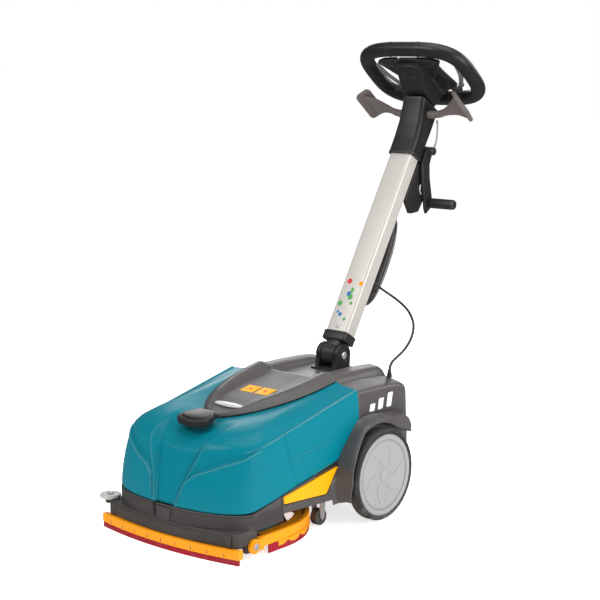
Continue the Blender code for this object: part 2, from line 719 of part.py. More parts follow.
def bowed_bar(half, front, bow, depth, steps=16):
    """Plan of a bar that follows the bowed front, depth deep."""
    outer = []
    inner = []
    for index in range(steps + 1):
        x = -half + 2 * half * index / steps
        y = front + bow * (x / half) ** 2
        outer.append((x, y))
        inner.append((x, y + depth))
    return outer + list(reversed(inner))


def build_front_squeegee():
    low = 0.0125
    top = DECK_BOTTOM - GAP
    bar = bowed_bar(FRONT_SQUEEGEE_HALF, -0.5390, 0.0235, 0.0150)
    plate("front_squeegee_carrier", bar, top - low, (0, 0, (top + low) / 2), "Z", "orange_plastic", edge=0.0015)
    strip = bowed_bar(FRONT_SQUEEGEE_HALF - 0.001, -0.5380, 0.0235, 0.0050)
    plate("front_squeegee_blade", strip, low - GAP, (0, 0, (low - GAP) / 2), "Z", "red_rubber")


def horseshoe(radius, band, front, steps=24):
    """Plan of an arm, a half circle behind the brush, and the other arm."""
    outer = [(radius, front)] + arc((0, 0), radius, 0.0, 180.0, steps) + [(-radius, front)]
    inside = radius - band
    inner = [(-inside, front)] + arc((0, 0), inside, 180.0, 0.0, steps) + [(inside, front)]
    return outer + inner


def build_rear_squeegee():
    pivot = axis_empty("rear_squeegee_axis", SQUEEGEE_PIVOT)
    middle = BRUSH - SQUEEGEE_PIVOT
    low = 0.0165
    top = 0.0450
    arms_front = -0.096
    carrier = plate("rear_squeegee_carrier", horseshoe(SQUEEGEE_RADIUS + 0.0015, SQUEEGEE_BAND, arms_front),
                    top - low, (middle.x, middle.y, (top + low) / 2 - SQUEEGEE_PIVOT.z), "Z", "orange_plastic", pivot)
    for side in (-1.0, 1.0):
        ear = cylinder("squeegee_ear", 0.0165, 0.0100, (side * 0.2112, 0, 0), "X", "orange_plastic", pivot, 28)
        link = box("squeegee_link", (0.0096, 0.0300, top - low - 0.0020), (side * 0.2112, 0.0140, 0.0005),
                   "orange_plastic", pivot)
        bore = cylinder("ear_bore", 0.0045, 0.05, (side * 0.2112, 0, 0), "X", "orange_plastic", pivot, 20)
        join(carrier, link, ear)
        cut(carrier, bore)
    strip = horseshoe(SQUEEGEE_RADIUS, 0.0045, -0.060)
    plate("rear_squeegee_blade", strip, low - GAP - 0.0005,
          (middle.x, middle.y, (low - GAP + 0.0005) / 2 - SQUEEGEE_PIVOT.z), "Z", "red_rubber", pivot)
    for name, side in mirrored("squeegee_bolt"):
        bolt = [(0.0, 0.0190), (0.0070, 0.0190), (0.0080, 0.0178), (0.0080, 0.0156), (0.0040, 0.0156),
                (0.0040, 0.0), (0.0, 0.0)]
        piece = turned(name, bolt, (side * 0.2010, SQUEEGEE_PIVOT.y, SQUEEGEE_PIVOT.z), "X", "bare_steel", steps=20)
        piece.rotation_euler = Euler((0.0, side * math.pi / 2, 0.0))


# ---------------------------------------------------------------- handle
def build_hinge():
    """The fixed half of the handle's hinge: a foot, two cheeks and the pin."""
    foot = span_box("hinge_bracket", (-0.0400, 0.0330, 0.3166), (0.0400, 0.1000, 0.3206), "black_plastic")
    drop = 0.3190 - HANDLE_PIVOT.z
    for side in (-1.0, 1.0):
        cheek = arc((0, 0), KNUCKLE_RADIUS, -10.0, 190.0, 18) + [(-0.0330, drop), (0.0260, drop)]
        join(foot, plate("hinge_cheek", cheek, 0.0125, (side * 0.02780, HANDLE_PIVOT.y, HANDLE_PIVOT.z),
                         "X", "black_plastic"))
    cut(foot, cylinder("hinge_bore", 0.0064, 0.10, HANDLE_PIVOT, "X", "black_plastic", sides=20))
    pin = [(0.0, 0.0372), (0.0075, 0.0372), (0.0090, 0.0360), (0.0090, 0.0344), (0.0060, 0.0344),
           (0.0060, -0.0344), (0.0090, -0.0344), (0.0090, -0.0360), (0.0075, -0.0372), (0.0, -0.0372)]
    turned("hinge_pin", pin, HANDLE_PIVOT, "X", "bare_steel", steps=16)


def build_handle(pivot):
    """The folding handle, drawn upright in the frame of its pivot and leant back by the pivot."""
    knuckle = cylinder("handle_knuckle", KNUCKLE_RADIUS - 0.001, 0.0420, (0, 0, 0), "X", "black_plastic", pivot, 36)
    web = span_box("knuckle_web", (-0.0210, -0.0200, 0.0), (0.0210, 0.0200, 0.0400), "black_plastic", pivot)
    collar = plate("knuckle_collar", rounded_rectangle(0.0365, 0.0245, 0.008), 0.0240,
                   (0, 0, TUBE_START - GAP - 0.0120), "Z", "black_plastic", pivot)
    spigot = plate("knuckle_spigot", rounded_rectangle(TUBE_HALF_X - TUBE_WALL - GAP, TUBE_HALF_Y - TUBE_WALL - GAP,
                   0.004), 0.0500, (0, 0, TUBE_START + 0.0100), "Z", "black_plastic", pivot)
    join(knuckle, web, collar, spigot)
    cut(knuckle, cylinder("knuckle_bore", 0.0064, 0.10, (0, 0, 0), "X", "black_plastic", pivot, 20))

    length = TUBE_END - TUBE_START
    middle = (TUBE_END + TUBE_START) / 2
    body = plate("handle_tube", rounded_rectangle(TUBE_HALF_X, TUBE_HALF_Y, 0.0075), length, (0, 0, middle),
                 "Z", "aluminium", pivot)
    hollow = plate("tube_hollow", rounded_rectangle(TUBE_HALF_X - TUBE_WALL, TUBE_HALF_Y - TUBE_WALL, 0.005),
                   length + 0.1, (0, 0, middle), "Z", "aluminium", pivot)
    cut(body, hollow)

    sections = ((0.5600, 0.0385, -0.0270, 0.0265), (0.6050, 0.0385, -0.0280, 0.0270),
                (0.6500, 0.0370, -0.0330, 0.0300), (0.6900, 0.0355, -0.0440, 0.0310),
                (0.7130, 0.0350, -0.0520, 0.0310))
    rings = []
    for height, half, front, back in sections:
        outline = rounded_rectangle(half, (back - front) / 2, 0.012)
        rings.append([(x, y + (back + front) / 2, height) for x, y in outline])
    neck = loft("neck", rings, "black_plastic", pivot)
    cut(neck, plate("neck_socket", rounded_rectangle(TUBE_HALF_X - 0.004, TUBE_HALF_Y - 0.004, 0.005), 0.09,
                    (0, 0, 0.5600), "Z", "black_plastic", pivot))

    grip = [(0.032, 0.160), (0.052, 0.168), (0.064, 0.190), (0.069, 0.225), (0.070, 0.270),
            (0.068, 0.315), (0.062, 0.355), (0.050, 0.392), (0.032, 0.404)]
    bow = smooth_route([Vector((0, back, up)) for back, up in grip], 0.016)
    feet = [Vector((0, TUBE_HALF_Y + GAP, end.z)) for end in (bow[0], bow[-1])]
    tube("carry_handle", [feet[0], *bow, feet[1]], 0.0105, "black_plastic", pivot, resolution=3)
    span_box("cable_channel", (-0.0080, TUBE_HALF_Y + GAP, 0.4300), (0.0080, TUBE_HALF_Y + 0.0065, 0.5560),
             "black_plastic", pivot, edge=0.002)


def loop_point(turn):
    """A point of the steering loop's centre line, in the head's frame."""
    power = 2 / LOOP_SQUARENESS
    across = math.copysign(abs(math.cos(turn)) ** power, math.cos(turn))
    back = math.copysign(abs(math.sin(turn)) ** power, math.sin(turn))
    return Vector((LOOP_HALF * across, LOOP_LENGTH * back, 0.0))


def even_loop(count):
    """Evenly spaced points round the steering loop."""
    fine = [loop_point(math.tau * index / 1440) for index in range(1441)]
    total = sum((b - a).length for a, b in zip(fine[:-1], fine[1:]))
    points = [fine[0]]
    walked = 0.0
    for a, b in zip(fine[:-1], fine[1:]):
        walked += (b - a).length
        if walked >= len(points) * total / count and len(points) < count:
            points.append(b)
    return points


def build_head(pivot):
    """Steering loop, console and covers, in a frame that lies in the loop's plane."""
    head = axis_empty("head_frame", (0, HEAD_BACK, HEAD_UP), (HANDLE_LEAN - HEAD_LEAN, 0, 0), pivot)
    tube("steering_loop", even_loop(48), LOOP_TUBE, "black_plastic", head, cyclic=True, resolution=3)
    inner = LOOP_LENGTH - LOOP_TUBE - 0.0008
    console = span_box("control_console", (-0.0440, -0.0560, -0.0200), (0.0440, 0.0600, 0.0110), "black_plastic",
                       head)
    half = [(0.0500, -0.0580), (0.0595, -0.0410), (0.0705, 0.0090), (0.0830, 0.0480), (0.0810, 0.0560),
            (0.0480, 0.0610), (0.0400, inner)]
    outline = half + [(-x, y) for x, y in reversed(half)]
    top = plate("console_top", outline, 0.0200, (0, 0, 0.0020), "Z", "black_plastic", head)
    join(console, top)
    for side in (-1.0, 1.0):
        spoke = [(0.0300, -0.0820), (0.0740, -0.0795), (0.0955, -0.0715), (0.0980, -0.0660), (0.0545, -0.0040),
                 (0.0300, -0.0040)]
        arm = plate("console_spoke", [(side * x, y) for x, y in spoke], 0.0120, (0, 0, -0.0125), "Z",
                    "black_plastic", head)
        lug = span_box("lever_lug", (side * 0.0920 - 0.0150, 0.0395, -0.0173), (side * 0.0920 + 0.0150, 0.0545, -0.0060),
                       "black_plastic", head)
        join(console, arm, lug)
    for place in ((-0.020, 0.022), (0.020, 0.022)):
        cut(console, cylinder("button_well", 0.0085, 0.018, (*place, 0.0120), "Z", "black_plastic", head, 24))
    sections = ((-0.0590, 0.0345, -0.0100, 0.0680), (-0.0400, 0.0380, -0.0420, 0.0700),
                (-0.0205, 0.0420, -0.0700, 0.0720))
    rings = []
    for height, half, front, back in sections:
        outline = rounded_rectangle(half, (back - front) / 2, 0.012)
        rings.append([(x, y + (back + front) / 2, height) for x, y in outline])
    loft("head_cover", rings, "black_plastic", head)
    return head


def build_controls(head):
    """Paddles, thumb levers, switch and button, each on its own axis."""
    for name, side in mirrored("paddle"):
        axis = axis_empty(f"{name}_axis", (side * 0.0500, 0.0500, -0.0930), parent=head)
        arm = [Vector((0, 0, 0)), Vector((side * 0.024, 0.003, 0.002)), Vector((side * 0.054, -0.002, 0.011)),
               Vector((side * 0.084, -0.008, 0.019))]
        lever = tube(name, smooth_route(arm, 0.010), 0.0075, "lever_plastic", axis, resolution=3)
        pad = box("paddle_pad", (0.042, 0.097, 0.010), (side * 0.0985, -0.0225, 0.0125), "lever_plastic", axis,
                  rotation=(0, side * PADDLE_TILT, 0), edge=0.0045, segments=2)
        boss = cylinder("paddle_boss", 0.0105, 0.0213, (side * -0.0031, 0, 0), "X", "lever_plastic", axis, 24)
        join(lever, pad, boss)

    for name, side in mirrored("thumb_lever"):
        axis = axis_empty(f"{name}_axis", (side * 0.0985, 0.0470, 0.0030), parent=head)
        crescent = [Vector((0, 0, 0)), Vector((side * 0.0190, -0.041, -0.0005)), Vector((side * 0.0265, -0.086, -0.002))]
        lever = tube(name, smooth_route(crescent, 0.012), 0.0055, "lever_plastic", axis, resolution=3)
        join(lever, cylinder("lever_foot", 0.0062, 0.0096, (0, 0, -0.0038), "Z", "lever_plastic", axis, 20))

    cylinder("power_switch", 0.0081, 0.0150, (-0.020, 0.022, 0.0140), "Z", "red_rubber", head, 24, edge=0.001)
    cylinder("mode_button", 0.0081, 0.0110, (0.020, 0.022, 0.0122), "Z", "pale_plastic", head, 24, edge=0.001)


def build_lift_lever(pivot):
    """Squeegee lift: a bracket on the handle's back, a lever that hangs from it, and a peg grip."""
    bracket_view = [(TUBE_HALF_Y + GAP, 0.5540), (TUBE_HALF_Y + GAP, 0.4500), (0.0620, 0.4280), (0.0900, 0.4480),
                    (0.0930, 0.4800), (0.0560, 0.5900), (0.0280, 0.5960), (0.0280, 0.5540)]
    plate("lift_bracket", bracket_view, 0.0120, (0.0285, 0, 0), "X", "black_plastic", pivot)
    axis = axis_empty("lift_lever_axis", LIFT_PIVOT, (HANDLE_LEAN, 0, 0), pivot)
    plate_view = [(0.0080, 0.0080), (-0.0080, 0.0100), (-0.0220, -0.0080), (-0.0340, -0.0360), (-0.0330, -0.0730),
                  (-0.0240, -0.1210), (-0.0200, -0.1500), (-0.0140, -0.1650), (0.0100, -0.1480), (0.0120, -0.1210),
                  (0.0020, -0.0730), (0.0000, -0.0360), (0.0110, -0.0080)]
    lever = plate("lift_lever", plate_view, 0.0060, (-0.0060, 0, 0), "X", "black_plastic", axis, edge=0.0010,
                  segments=1)
    knob = cylinder("lever_boss", 0.0110, 0.0160, (0.0040, 0, 0), "X", "black_plastic", axis, 24)
    peg = cylinder("lever_peg", 0.0060, 0.0800, (0.0340, 0.0, -LIFT_LENGTH), "X", "black_plastic", axis, 20)
    join(lever, knob, peg)
    sleeve = [(0.0120, 0.0380), (0.0135, 0.0360), (0.0135, -0.0360), (0.0120, -0.0380), (0.0064, -0.0380),
              (0.0064, 0.0380)]
    turned("lift_grip", sleeve, (0.0380, 0.0, -LIFT_LENGTH), "X", "black_plastic", axis, 24, closed=True)


# ---------------------------------------------------------------- cables
CABLE_RADIUS = 0.0033
# route of the control cable from the grommet on the handle's tube to the grommet on the rear housing
CABLE_ROUTE = [(0.0180, 0.2197, 0.5136), (0.0300, 0.2400, 0.4960), (0.0500, 0.2740, 0.4680),
               (0.0720, 0.2920, 0.4400), (0.0940, 0.2860, 0.4080), (0.1150, 0.2480, 0.3800),
               (0.1320, 0.1960, 0.3600), (0.1460, 0.1450, 0.3500), (0.1560, 0.1130, 0.3450),
               (0.1600, 0.0975, 0.3320), (0.1600, 0.0970, 0.3230)]
UPPER_GROMMET = Vector((0.0180, 0.0218, 0.2150))        # in the handle's frame, axis along +Y
LOWER_GROMMET = Vector((0.1600, 0.0970, 0.3090))
GROMMET_LENGTH = 0.0080
WIRE_ROUTE = [(0.0470, 0.0450, 0.6160), (0.0500, 0.0420, 0.6300), (0.0540, 0.0250, 0.6560),
              (0.0560, 0.0080, 0.6750)]


def in_handle_frame(point):
    """World place of a point given in the handle's own frame."""
    turned_point = Vector(point)
    turned_point.rotate(Euler((-HANDLE_LEAN, 0.0, 0.0)))
    return HANDLE_PIVOT + turned_point


def build_cables(pivot):
    upper = UPPER_GROMMET + Vector((0, GROMMET_LENGTH / 2, 0))
    cylinder("upper_grommet", 0.0065, GROMMET_LENGTH, upper, "Y", "cable_black", pivot, 20, edge=0.001)
    lower = LOWER_GROMMET + Vector((0, 0, GROMMET_LENGTH / 2))
    cylinder("lower_grommet", 0.0065, GROMMET_LENGTH, lower, "Z", "cable_black", sides=20, edge=0.001)
    start = in_handle_frame(UPPER_GROMMET + Vector((0, GROMMET_LENGTH + GAP, 0)))
    end = LOWER_GROMMET + Vector((0, 0, GROMMET_LENGTH + GAP))
    middle = smooth_route([Vector(point) for point in CABLE_ROUTE], 0.015)
    tube("control_cable", [start, *middle, end], CABLE_RADIUS, "cable_black", resolution=2)
    tube("lift_wire", smooth_route([Vector(point) for point in WIRE_ROUTE], 0.006), 0.0011, "bare_steel", pivot,
         resolution=2)


def main():
    global PARTS, CUTTERS
    clear_scene()
    PARTS = new_collection("floor_scrubber")
    CUTTERS = new_collection("cutters")
    build_brush_deck()
    build_chassis_base()
    build_side_panels()
    build_rear_housing()
    build_tank_shell()
    lid_axis = axis_empty("lid_axis", (0, TANK_REAR - 0.0006, 0.3440))
    build_lid(lid_axis)
    build_lid_badge(lid_axis)
    latch_axis = axis_empty("lid_latch_axis", (0, LID_TIP - 0.004, 0.2850))
    build_lid_latch(latch_axis)
    build_side_latches()
    build_inside()
    build_wheels()
    build_support_rollers()
    build_wall_roller()
    build_brush()
    build_front_squeegee()
    build_rear_squeegee()
    build_hinge()
    handle = axis_empty("handle_axis", HANDLE_PIVOT, (-HANDLE_LEAN, 0, 0))
    build_handle(handle)
    head = build_head(handle)
    build_controls(head)
    build_lift_lever(handle)
    build_cables(handle)


main()
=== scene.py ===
"""Looks of the walk-behind floor scrubber: detailed pieces, finishes, floor, light and camera.

Metres, +Z up, the machine drives towards -Y and its left side is -X.
"""
import json
import math

import bmesh
import bpy
import numpy as np
from mathutils import Euler, Matrix, Vector


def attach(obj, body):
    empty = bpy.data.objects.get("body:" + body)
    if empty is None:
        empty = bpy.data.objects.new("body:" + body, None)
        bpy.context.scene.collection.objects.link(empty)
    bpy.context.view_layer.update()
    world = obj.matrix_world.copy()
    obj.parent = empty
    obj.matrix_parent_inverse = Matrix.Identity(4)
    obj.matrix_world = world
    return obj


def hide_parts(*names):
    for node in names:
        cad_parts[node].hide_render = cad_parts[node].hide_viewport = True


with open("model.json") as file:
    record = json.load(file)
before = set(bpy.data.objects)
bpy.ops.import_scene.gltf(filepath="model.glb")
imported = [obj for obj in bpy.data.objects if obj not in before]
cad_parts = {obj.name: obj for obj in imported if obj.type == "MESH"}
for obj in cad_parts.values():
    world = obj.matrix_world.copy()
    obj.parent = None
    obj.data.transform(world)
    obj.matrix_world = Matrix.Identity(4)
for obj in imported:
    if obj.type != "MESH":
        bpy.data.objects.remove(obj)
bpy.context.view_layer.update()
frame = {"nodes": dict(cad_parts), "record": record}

# ---------------------------------------------------------------- dimensions shared with the frame
GAP = 0.0004
WHEEL_RADIUS = 0.11
HUB_RADIUS = 0.0985
WHEEL_MIDDLE = 0.2421
WHEEL_HALF = 0.0165
AXLE = Vector((0.0, -0.0448, WHEEL_RADIUS))
BRUSH = Vector((0.0, -0.346, 0.0))
BRUSH_RADIUS = 0.165
DECK_HALF = 0.2055
DECK_FRONT = -0.532
DECK_BOW = 0.022
DECK_BOTTOM = 0.034
DECK_LEDGE = 0.0655
DECK_TOP = 0.0995
DECK_STEP_Y = -0.3603
DECK_REAR = -0.15
DECK_CORNER = 0.014
HOOD_FOOT = 0.219
SKIRT_BOTTOM = 0.079
SIDE_INNER = 0.1905
SIDE_OUTER = 0.2085
BODY_REAR = 0.108
TANK_REAR = -0.082
LID_HALF = 0.137
LID_TIP = -0.371
LID_WIDEST = -0.087
LID_TIP_HEIGHT = 0.27
LID_SLOPE = 0.19
WALL_ROLLER = Vector((-0.215, -0.492, 0.071))
SQUEEGEE_PIVOT = Vector((0.0, -0.458, 0.03))
SQUEEGEE_RADIUS = 0.2095
SQUEEGEE_BAND = 0.0135
SQUEEGEE_EAR = 0.2112
FRONT_SQUEEGEE_HALF = 0.2165
FRONT_SQUEEGEE_Y = -0.539
FRONT_SQUEEGEE_BOW = 0.0235
HANDLE_PIVOT = Vector((0.0, 0.0737, 0.3508))
HANDLE_LEAN = math.radians(31.35)
HEAD_LEAN = math.radians(38.6)
KNUCKLE_RADIUS = 0.0285
TUBE_HALF_X = 0.0336
TUBE_HALF_Y = 0.0214
TUBE_WALL = 0.0025
TUBE_START = 0.056
TUBE_END = 0.5595
HEAD_BACK = -0.0482
HEAD_UP = 0.7809
LOOP_HALF = 0.154
LOOP_LENGTH = 0.103
LOOP_TUBE = 0.0192
LOOP_SQUARENESS = 3.3
LIFT_PIVOT = Vector((0.048, 0.0366, 0.5998))
LIFT_LENGTH = 0.136
PADDLE_TILT = math.radians(46.7)
BUTTON_X = 0.02
BUTTON_Y = 0.022


def turn_x(angle):
    return Euler((angle, 0.0, 0.0)).to_matrix().to_4x4()


def shift(x, y, z):
    return Matrix.Translation((x, y, z))


def outward_axis(side):
    """The X axis that points away from the machine on that side."""
    return "X" if side > 0 else "-X"


HANDLE = shift(*HANDLE_PIVOT) @ turn_x(-HANDLE_LEAN)
HEAD = HANDLE @ shift(0, HEAD_BACK, HEAD_UP) @ turn_x(HANDLE_LEAN - HEAD_LEAN)
FACING = {
    "X": Euler((math.pi / 2, 0.0, math.pi / 2)).to_matrix().to_4x4(),
    "Y": Euler((math.pi / 2, 0.0, 0.0)).to_matrix().to_4x4(),
    "Z": Matrix.Identity(4),
}
ALONG = {
    "X": Euler((0.0, math.pi / 2, 0.0)).to_matrix().to_4x4(),
    "-X": Euler((0.0, -math.pi / 2, 0.0)).to_matrix().to_4x4(),
    "Y": Euler((-math.pi / 2, 0.0, 0.0)).to_matrix().to_4x4(),
    "-Y": Euler((math.pi / 2, 0.0, 0.0)).to_matrix().to_4x4(),
    "Z": Matrix.Identity(4),
}


def linked(thing):
    """The object, put in the scene."""
    bpy.context.scene.collection.objects.link(thing)
    return thing


# ---------------------------------------------------------------- camera
CAMERA_AZIMUTH = math.radians(40.3993)
CAMERA_PITCH = math.radians(9.5693)
CAMERA_PLACE = (2.3361, -2.8, 1.1123)
CAMERA_LENS = 90.0


def build_camera():
    level = math.cos(CAMERA_PITCH)
    back = Vector((math.sin(CAMERA_AZIMUTH) * level, -math.cos(CAMERA_AZIMUTH) * level, math.sin(CAMERA_PITCH)))
    data = bpy.data.cameras.new("camera")
    data.lens = CAMERA_LENS
    data.sensor_width = 36.0
    camera = linked(bpy.data.objects.new("camera", data))
    camera.location = CAMERA_PLACE
    camera.rotation_euler = (-back).to_track_quat("-Z", "Y").to_euler()
    bpy.context.scene.camera = camera


# ---------------------------------------------------------------- finishes
def add_node(tree, kind, inputs, **settings):
    """A new shader node.  An input given as a socket is linked, and any other is set."""
    node = tree.nodes.new(kind)
    for name, value in settings.items():
        setattr(node, name, value)
    for name, value in inputs.items():
        if isinstance(value, bpy.types.NodeSocket):
            tree.links.new(value, node.inputs[name])
        else:
            node.inputs[name].default_value = value
    return node


def ramp(tree, source, low, high, out_low, out_high):
    """Map a grey value from one range to another, clamped."""
    return add_node(tree, "ShaderNodeMapRange", {"From Min": low, "From Max": high, "To Min": out_low,
                                                 "To Max": out_high, "Value": source}, clamp=True).outputs["Result"]


def noise(tree, place, scale, detail=3.0, roughness=0.55, distortion=0.0):
    return add_node(tree, "ShaderNodeTexNoise", {"Scale": scale, "Detail": detail, "Roughness": roughness,
                                                 "Distortion": distortion, "Vector": place}).outputs["Fac"]


def bumped(tree, heights, distance, normal=None):
    """The normal that a height makes, on top of another normal if one is given."""
    below = {"Normal": normal} if normal else {}
    return add_node(tree, "ShaderNodeBump", {"Strength": 1.0, "Distance": distance, "Height": heights,
                                             **below}).outputs["Normal"]


def blended(tree, share, first, second):
    """Colour mix of two colours, or of a socket and a colour."""
    node = tree.nodes.new("ShaderNodeMix")
    node.data_type = "RGBA"
    tree.links.new(share, node.inputs["Factor"])
    for slot, value in (("A", first), ("B", second)):
        socket = next(s for s in node.inputs if s.name == slot and s.type == "RGBA")
        if isinstance(value, tuple):
            socket.default_value = (*value, 1.0)
        else:
            tree.links.new(value, socket)
    return next(s for s in node.outputs if s.type == "RGBA")


def shade(colour, factor):
    return tuple(min(1.0, max(0.0, c * factor)) for c in colour)


def surface(name, colour, roughness, metallic=0.0, grain=(1400.0, 0.00003), mottle=0.07, edge_wear_and_highlight=0.25,
            dust=0.12, coat=0.0, brushed=None, texture=None, specular=0.5):
    """A moulded, cast or drawn surface: slow colour drift, fine grain, smudges, paler convex edges, and dust low
    down; the paler edges are worn edges, and with a high value they are painted highlights along creases.

    grain and texture are a scale and a depth; brushed is a stretch and a turn of the grain.
    """
    material = bpy.data.materials.new(name)
    material.use_nodes = True
    tree = material.node_tree
    shader = tree.nodes["Principled BSDF"]
    shader.inputs["Metallic"].default_value = metallic
    shader.inputs["Specular IOR Level"].default_value = specular
    shader.inputs["Coat Weight"].default_value = coat
    shader.inputs["Coat Roughness"].default_value = 0.25
    material.diffuse_color = (*colour, 1.0)
    place = tree.nodes.new("ShaderNodeTexCoord").outputs["Object"]

    drift = noise(tree, place, 7.0, 4.0)
    base = blended(tree, ramp(tree, drift, 0.3, 0.7, 0.0, 1.0), shade(colour, 1 - mottle), shade(colour, 1 + mottle))
    speck = noise(tree, place, 310.0, 2.0)
    base = blended(tree, ramp(tree, speck, 0.62, 0.78, 0.0, 0.3), base, shade(colour, 0.72))
    # Convex edges turn paler: worn edges, and where the value is high, a painted highlight that stands in for light
    # catching the creases.
    edge = tree.nodes.new("ShaderNodeNewGeometry").outputs["Pointiness"]
    worn_and_highlit = ramp(tree, edge, 0.515, 0.6, 0.0, edge_wear_and_highlight)
    pale = tuple(c + (0.55 - c) * 0.35 for c in colour)
    base = blended(tree, worn_and_highlit, base, pale)
    low = add_node(tree, "ShaderNodeSeparateXYZ", {"Vector": place})
    dusty = ramp(tree, low.outputs["Z"], 0.16, 0.0, 0.0, dust)
    patch = ramp(tree, noise(tree, place, 34.0, 5.0, 0.65), 0.4, 0.72, 0.0, 1.0)
    both = add_node(tree, "ShaderNodeMath", {0: dusty, 1: patch}, operation="MULTIPLY")
    base = blended(tree, both.outputs["Value"], base, (0.36, 0.32, 0.27))
    tree.links.new(base, shader.inputs["Base Color"])

    smudge = noise(tree, place, 22.0, 6.0, 0.6, 0.6)
    tree.links.new(ramp(tree, smudge, 0.15, 0.85, max(0.05, roughness - 0.05), min(1.0, roughness + 0.08)),
                   shader.inputs["Roughness"])

    heights = noise(tree, place, grain[0], 2.0)
    if brushed:
        lines = add_node(tree, "ShaderNodeMapping", {"Rotation": brushed[1], "Scale": brushed[0], "Vector": place},
                         vector_type="TEXTURE")
        heights = noise(tree, lines.outputs["Vector"], 1.0, 5.0, 0.65)
    normal = bumped(tree, heights, grain[1])
    normal = bumped(tree, noise(tree, place, 26.0, 1.0), 0.00025, normal)
    if texture:
        cells = add_node(tree, "ShaderNodeTexVoronoi", {"Scale": texture[0], "Vector": place})
        normal = bumped(tree, cells.outputs["Distance"], texture[1], normal)
    tree.links.new(normal, shader.inputs["Normal"])
    return material


TUBE_BRUSHED = ((0.00035, 0.00035, 0.2), (-HANDLE_LEAN, 0.0, 0.0))
FINISHES = {
    # The teal's high edge value paints pale highlights along its creases and along the valley's edges.
    "teal_plastic": dict(colour=(0.0, 0.19, 0.25), roughness=0.3, mottle=0.02, edge_wear_and_highlight=0.6, dust=0.02,
                         specular=0.13),
    "grey_plastic": dict(colour=(0.082, 0.075, 0.074), roughness=0.38, grain=(900.0, 0.00005), edge_wear_and_highlight=0.15,
                         dust=0.05, specular=0.45),
    "dark_plastic": dict(colour=(0.052, 0.046, 0.045), roughness=0.44, grain=(800.0, 0.00006), edge_wear_and_highlight=0.15,
                         dust=0.06, specular=0.35),
    "black_plastic": dict(colour=(0.0155, 0.0135, 0.013), roughness=0.34, grain=(900.0, 0.00005), edge_wear_and_highlight=0.15,
                          specular=0.42),
    "yellow_plastic": dict(colour=(0.98, 0.42, 0.0), roughness=0.4, mottle=0.02, edge_wear_and_highlight=0.0, dust=0.05, specular=0.2),
    "orange_plastic": dict(colour=(0.96, 0.335, 0.0), roughness=0.42, mottle=0.03, edge_wear_and_highlight=0.0, dust=0.06, specular=0.2),
    "red_rubber": dict(colour=(0.34, 0.006, 0.022), roughness=0.5, grain=(600.0, 0.00005), mottle=0.1, edge_wear_and_highlight=0.0,
                       dust=0.08, specular=0.2),
    "tyre_rubber": dict(colour=(0.026, 0.026, 0.025), roughness=0.62, grain=(500.0, 0.0001), dust=0.3),
    "hub_plastic": dict(colour=(0.335, 0.335, 0.342), roughness=0.42, grain=(1000.0, 0.00004), mottle=0.03),
    "lever_plastic": dict(colour=(0.112, 0.092, 0.084), roughness=0.48, texture=(620.0, 0.00012), edge_wear_and_highlight=0.2),
    "aluminium": dict(colour=(0.59, 0.56, 0.52), roughness=0.34, metallic=0.3, grain=(900.0, 0.00002),
                      mottle=0.02, edge_wear_and_highlight=0.1, brushed=TUBE_BRUSHED),
    "bare_steel": dict(colour=(0.6, 0.6, 0.61), roughness=0.3, metallic=0.55, mottle=0.08,
                       brushed=((0.004, 0.0004, 0.0004), (0.0, 0.0, 0.0))),
    "pale_plastic": dict(colour=(0.52, 0.52, 0.5), roughness=0.46, mottle=0.04),
    "badge_silver": dict(colour=(0.72, 0.72, 0.73), roughness=0.3, metallic=0.35, mottle=0.04,
                         brushed=((0.03, 0.0003, 0.0003), (0.0, 0.0, 0.0))),
    "nylon_bristle": dict(colour=(0.018, 0.022, 0.03), roughness=0.6, mottle=0.2),
    "cable_black": dict(colour=(0.017, 0.017, 0.017), roughness=0.5, texture=(900.0, 0.00008), edge_wear_and_highlight=0.1),
    "battery_grey": dict(colour=(0.15, 0.155, 0.16), roughness=0.55),
    "mark_white": dict(colour=(0.86, 0.86, 0.85), roughness=0.4, mottle=0.02, edge_wear_and_highlight=0.0),
    "mark_red": dict(colour=(0.6, 0.02, 0.02), roughness=0.4, mottle=0.03, edge_wear_and_highlight=0.0),
    "mark_green": dict(colour=(0.07, 0.34, 0.08), roughness=0.4, mottle=0.03, edge_wear_and_highlight=0.0),
    "mark_blue": dict(colour=(0.01, 0.16, 0.46), roughness=0.4, mottle=0.03, edge_wear_and_highlight=0.0),
    "mark_orange": dict(colour=(0.8, 0.075, 0.0), roughness=0.4, mottle=0.03, edge_wear_and_highlight=0.0, specular=0.2),
    "band_grey": dict(colour=(0.16, 0.15, 0.145), roughness=0.45, grain=(900.0, 0.00006)),
}
LOOKS = {name: surface(name, **values) for name, values in FINISHES.items()}


# ---------------------------------------------------------------- mesh helpers
def mesh_from(name, points, faces):
    mesh = bpy.data.meshes.new(name)
    mesh.from_pydata([tuple(p) for p in points], [], faces)
    mesh.update()
    return mesh


def welded(mesh, distance=0.00002):
    work = bmesh.new()
    work.from_mesh(mesh)
    bmesh.ops.remove_doubles(work, verts=work.verts, dist=distance)
    bmesh.ops.dissolve_degenerate(work, edges=work.edges, dist=1e-6)
    work.to_mesh(mesh)
    work.free()
    return mesh


def outward(mesh):
    work = bmesh.new()
    work.from_mesh(mesh)
    bmesh.ops.recalc_face_normals(work, faces=work.faces)
    work.to_mesh(mesh)
    work.free()
    return mesh


def merged(*meshes):
    """One mesh out of several."""
    work = bmesh.new()
    for mesh in meshes:
        work.from_mesh(mesh)
    result = meshes[0]
    work.to_mesh(result)
    work.free()
    for mesh in meshes[1:]:
        bpy.data.meshes.remove(mesh)
    return result


def moved(mesh, *matrices):
    for matrix in matrices:
        mesh.transform(matrix)
    return mesh


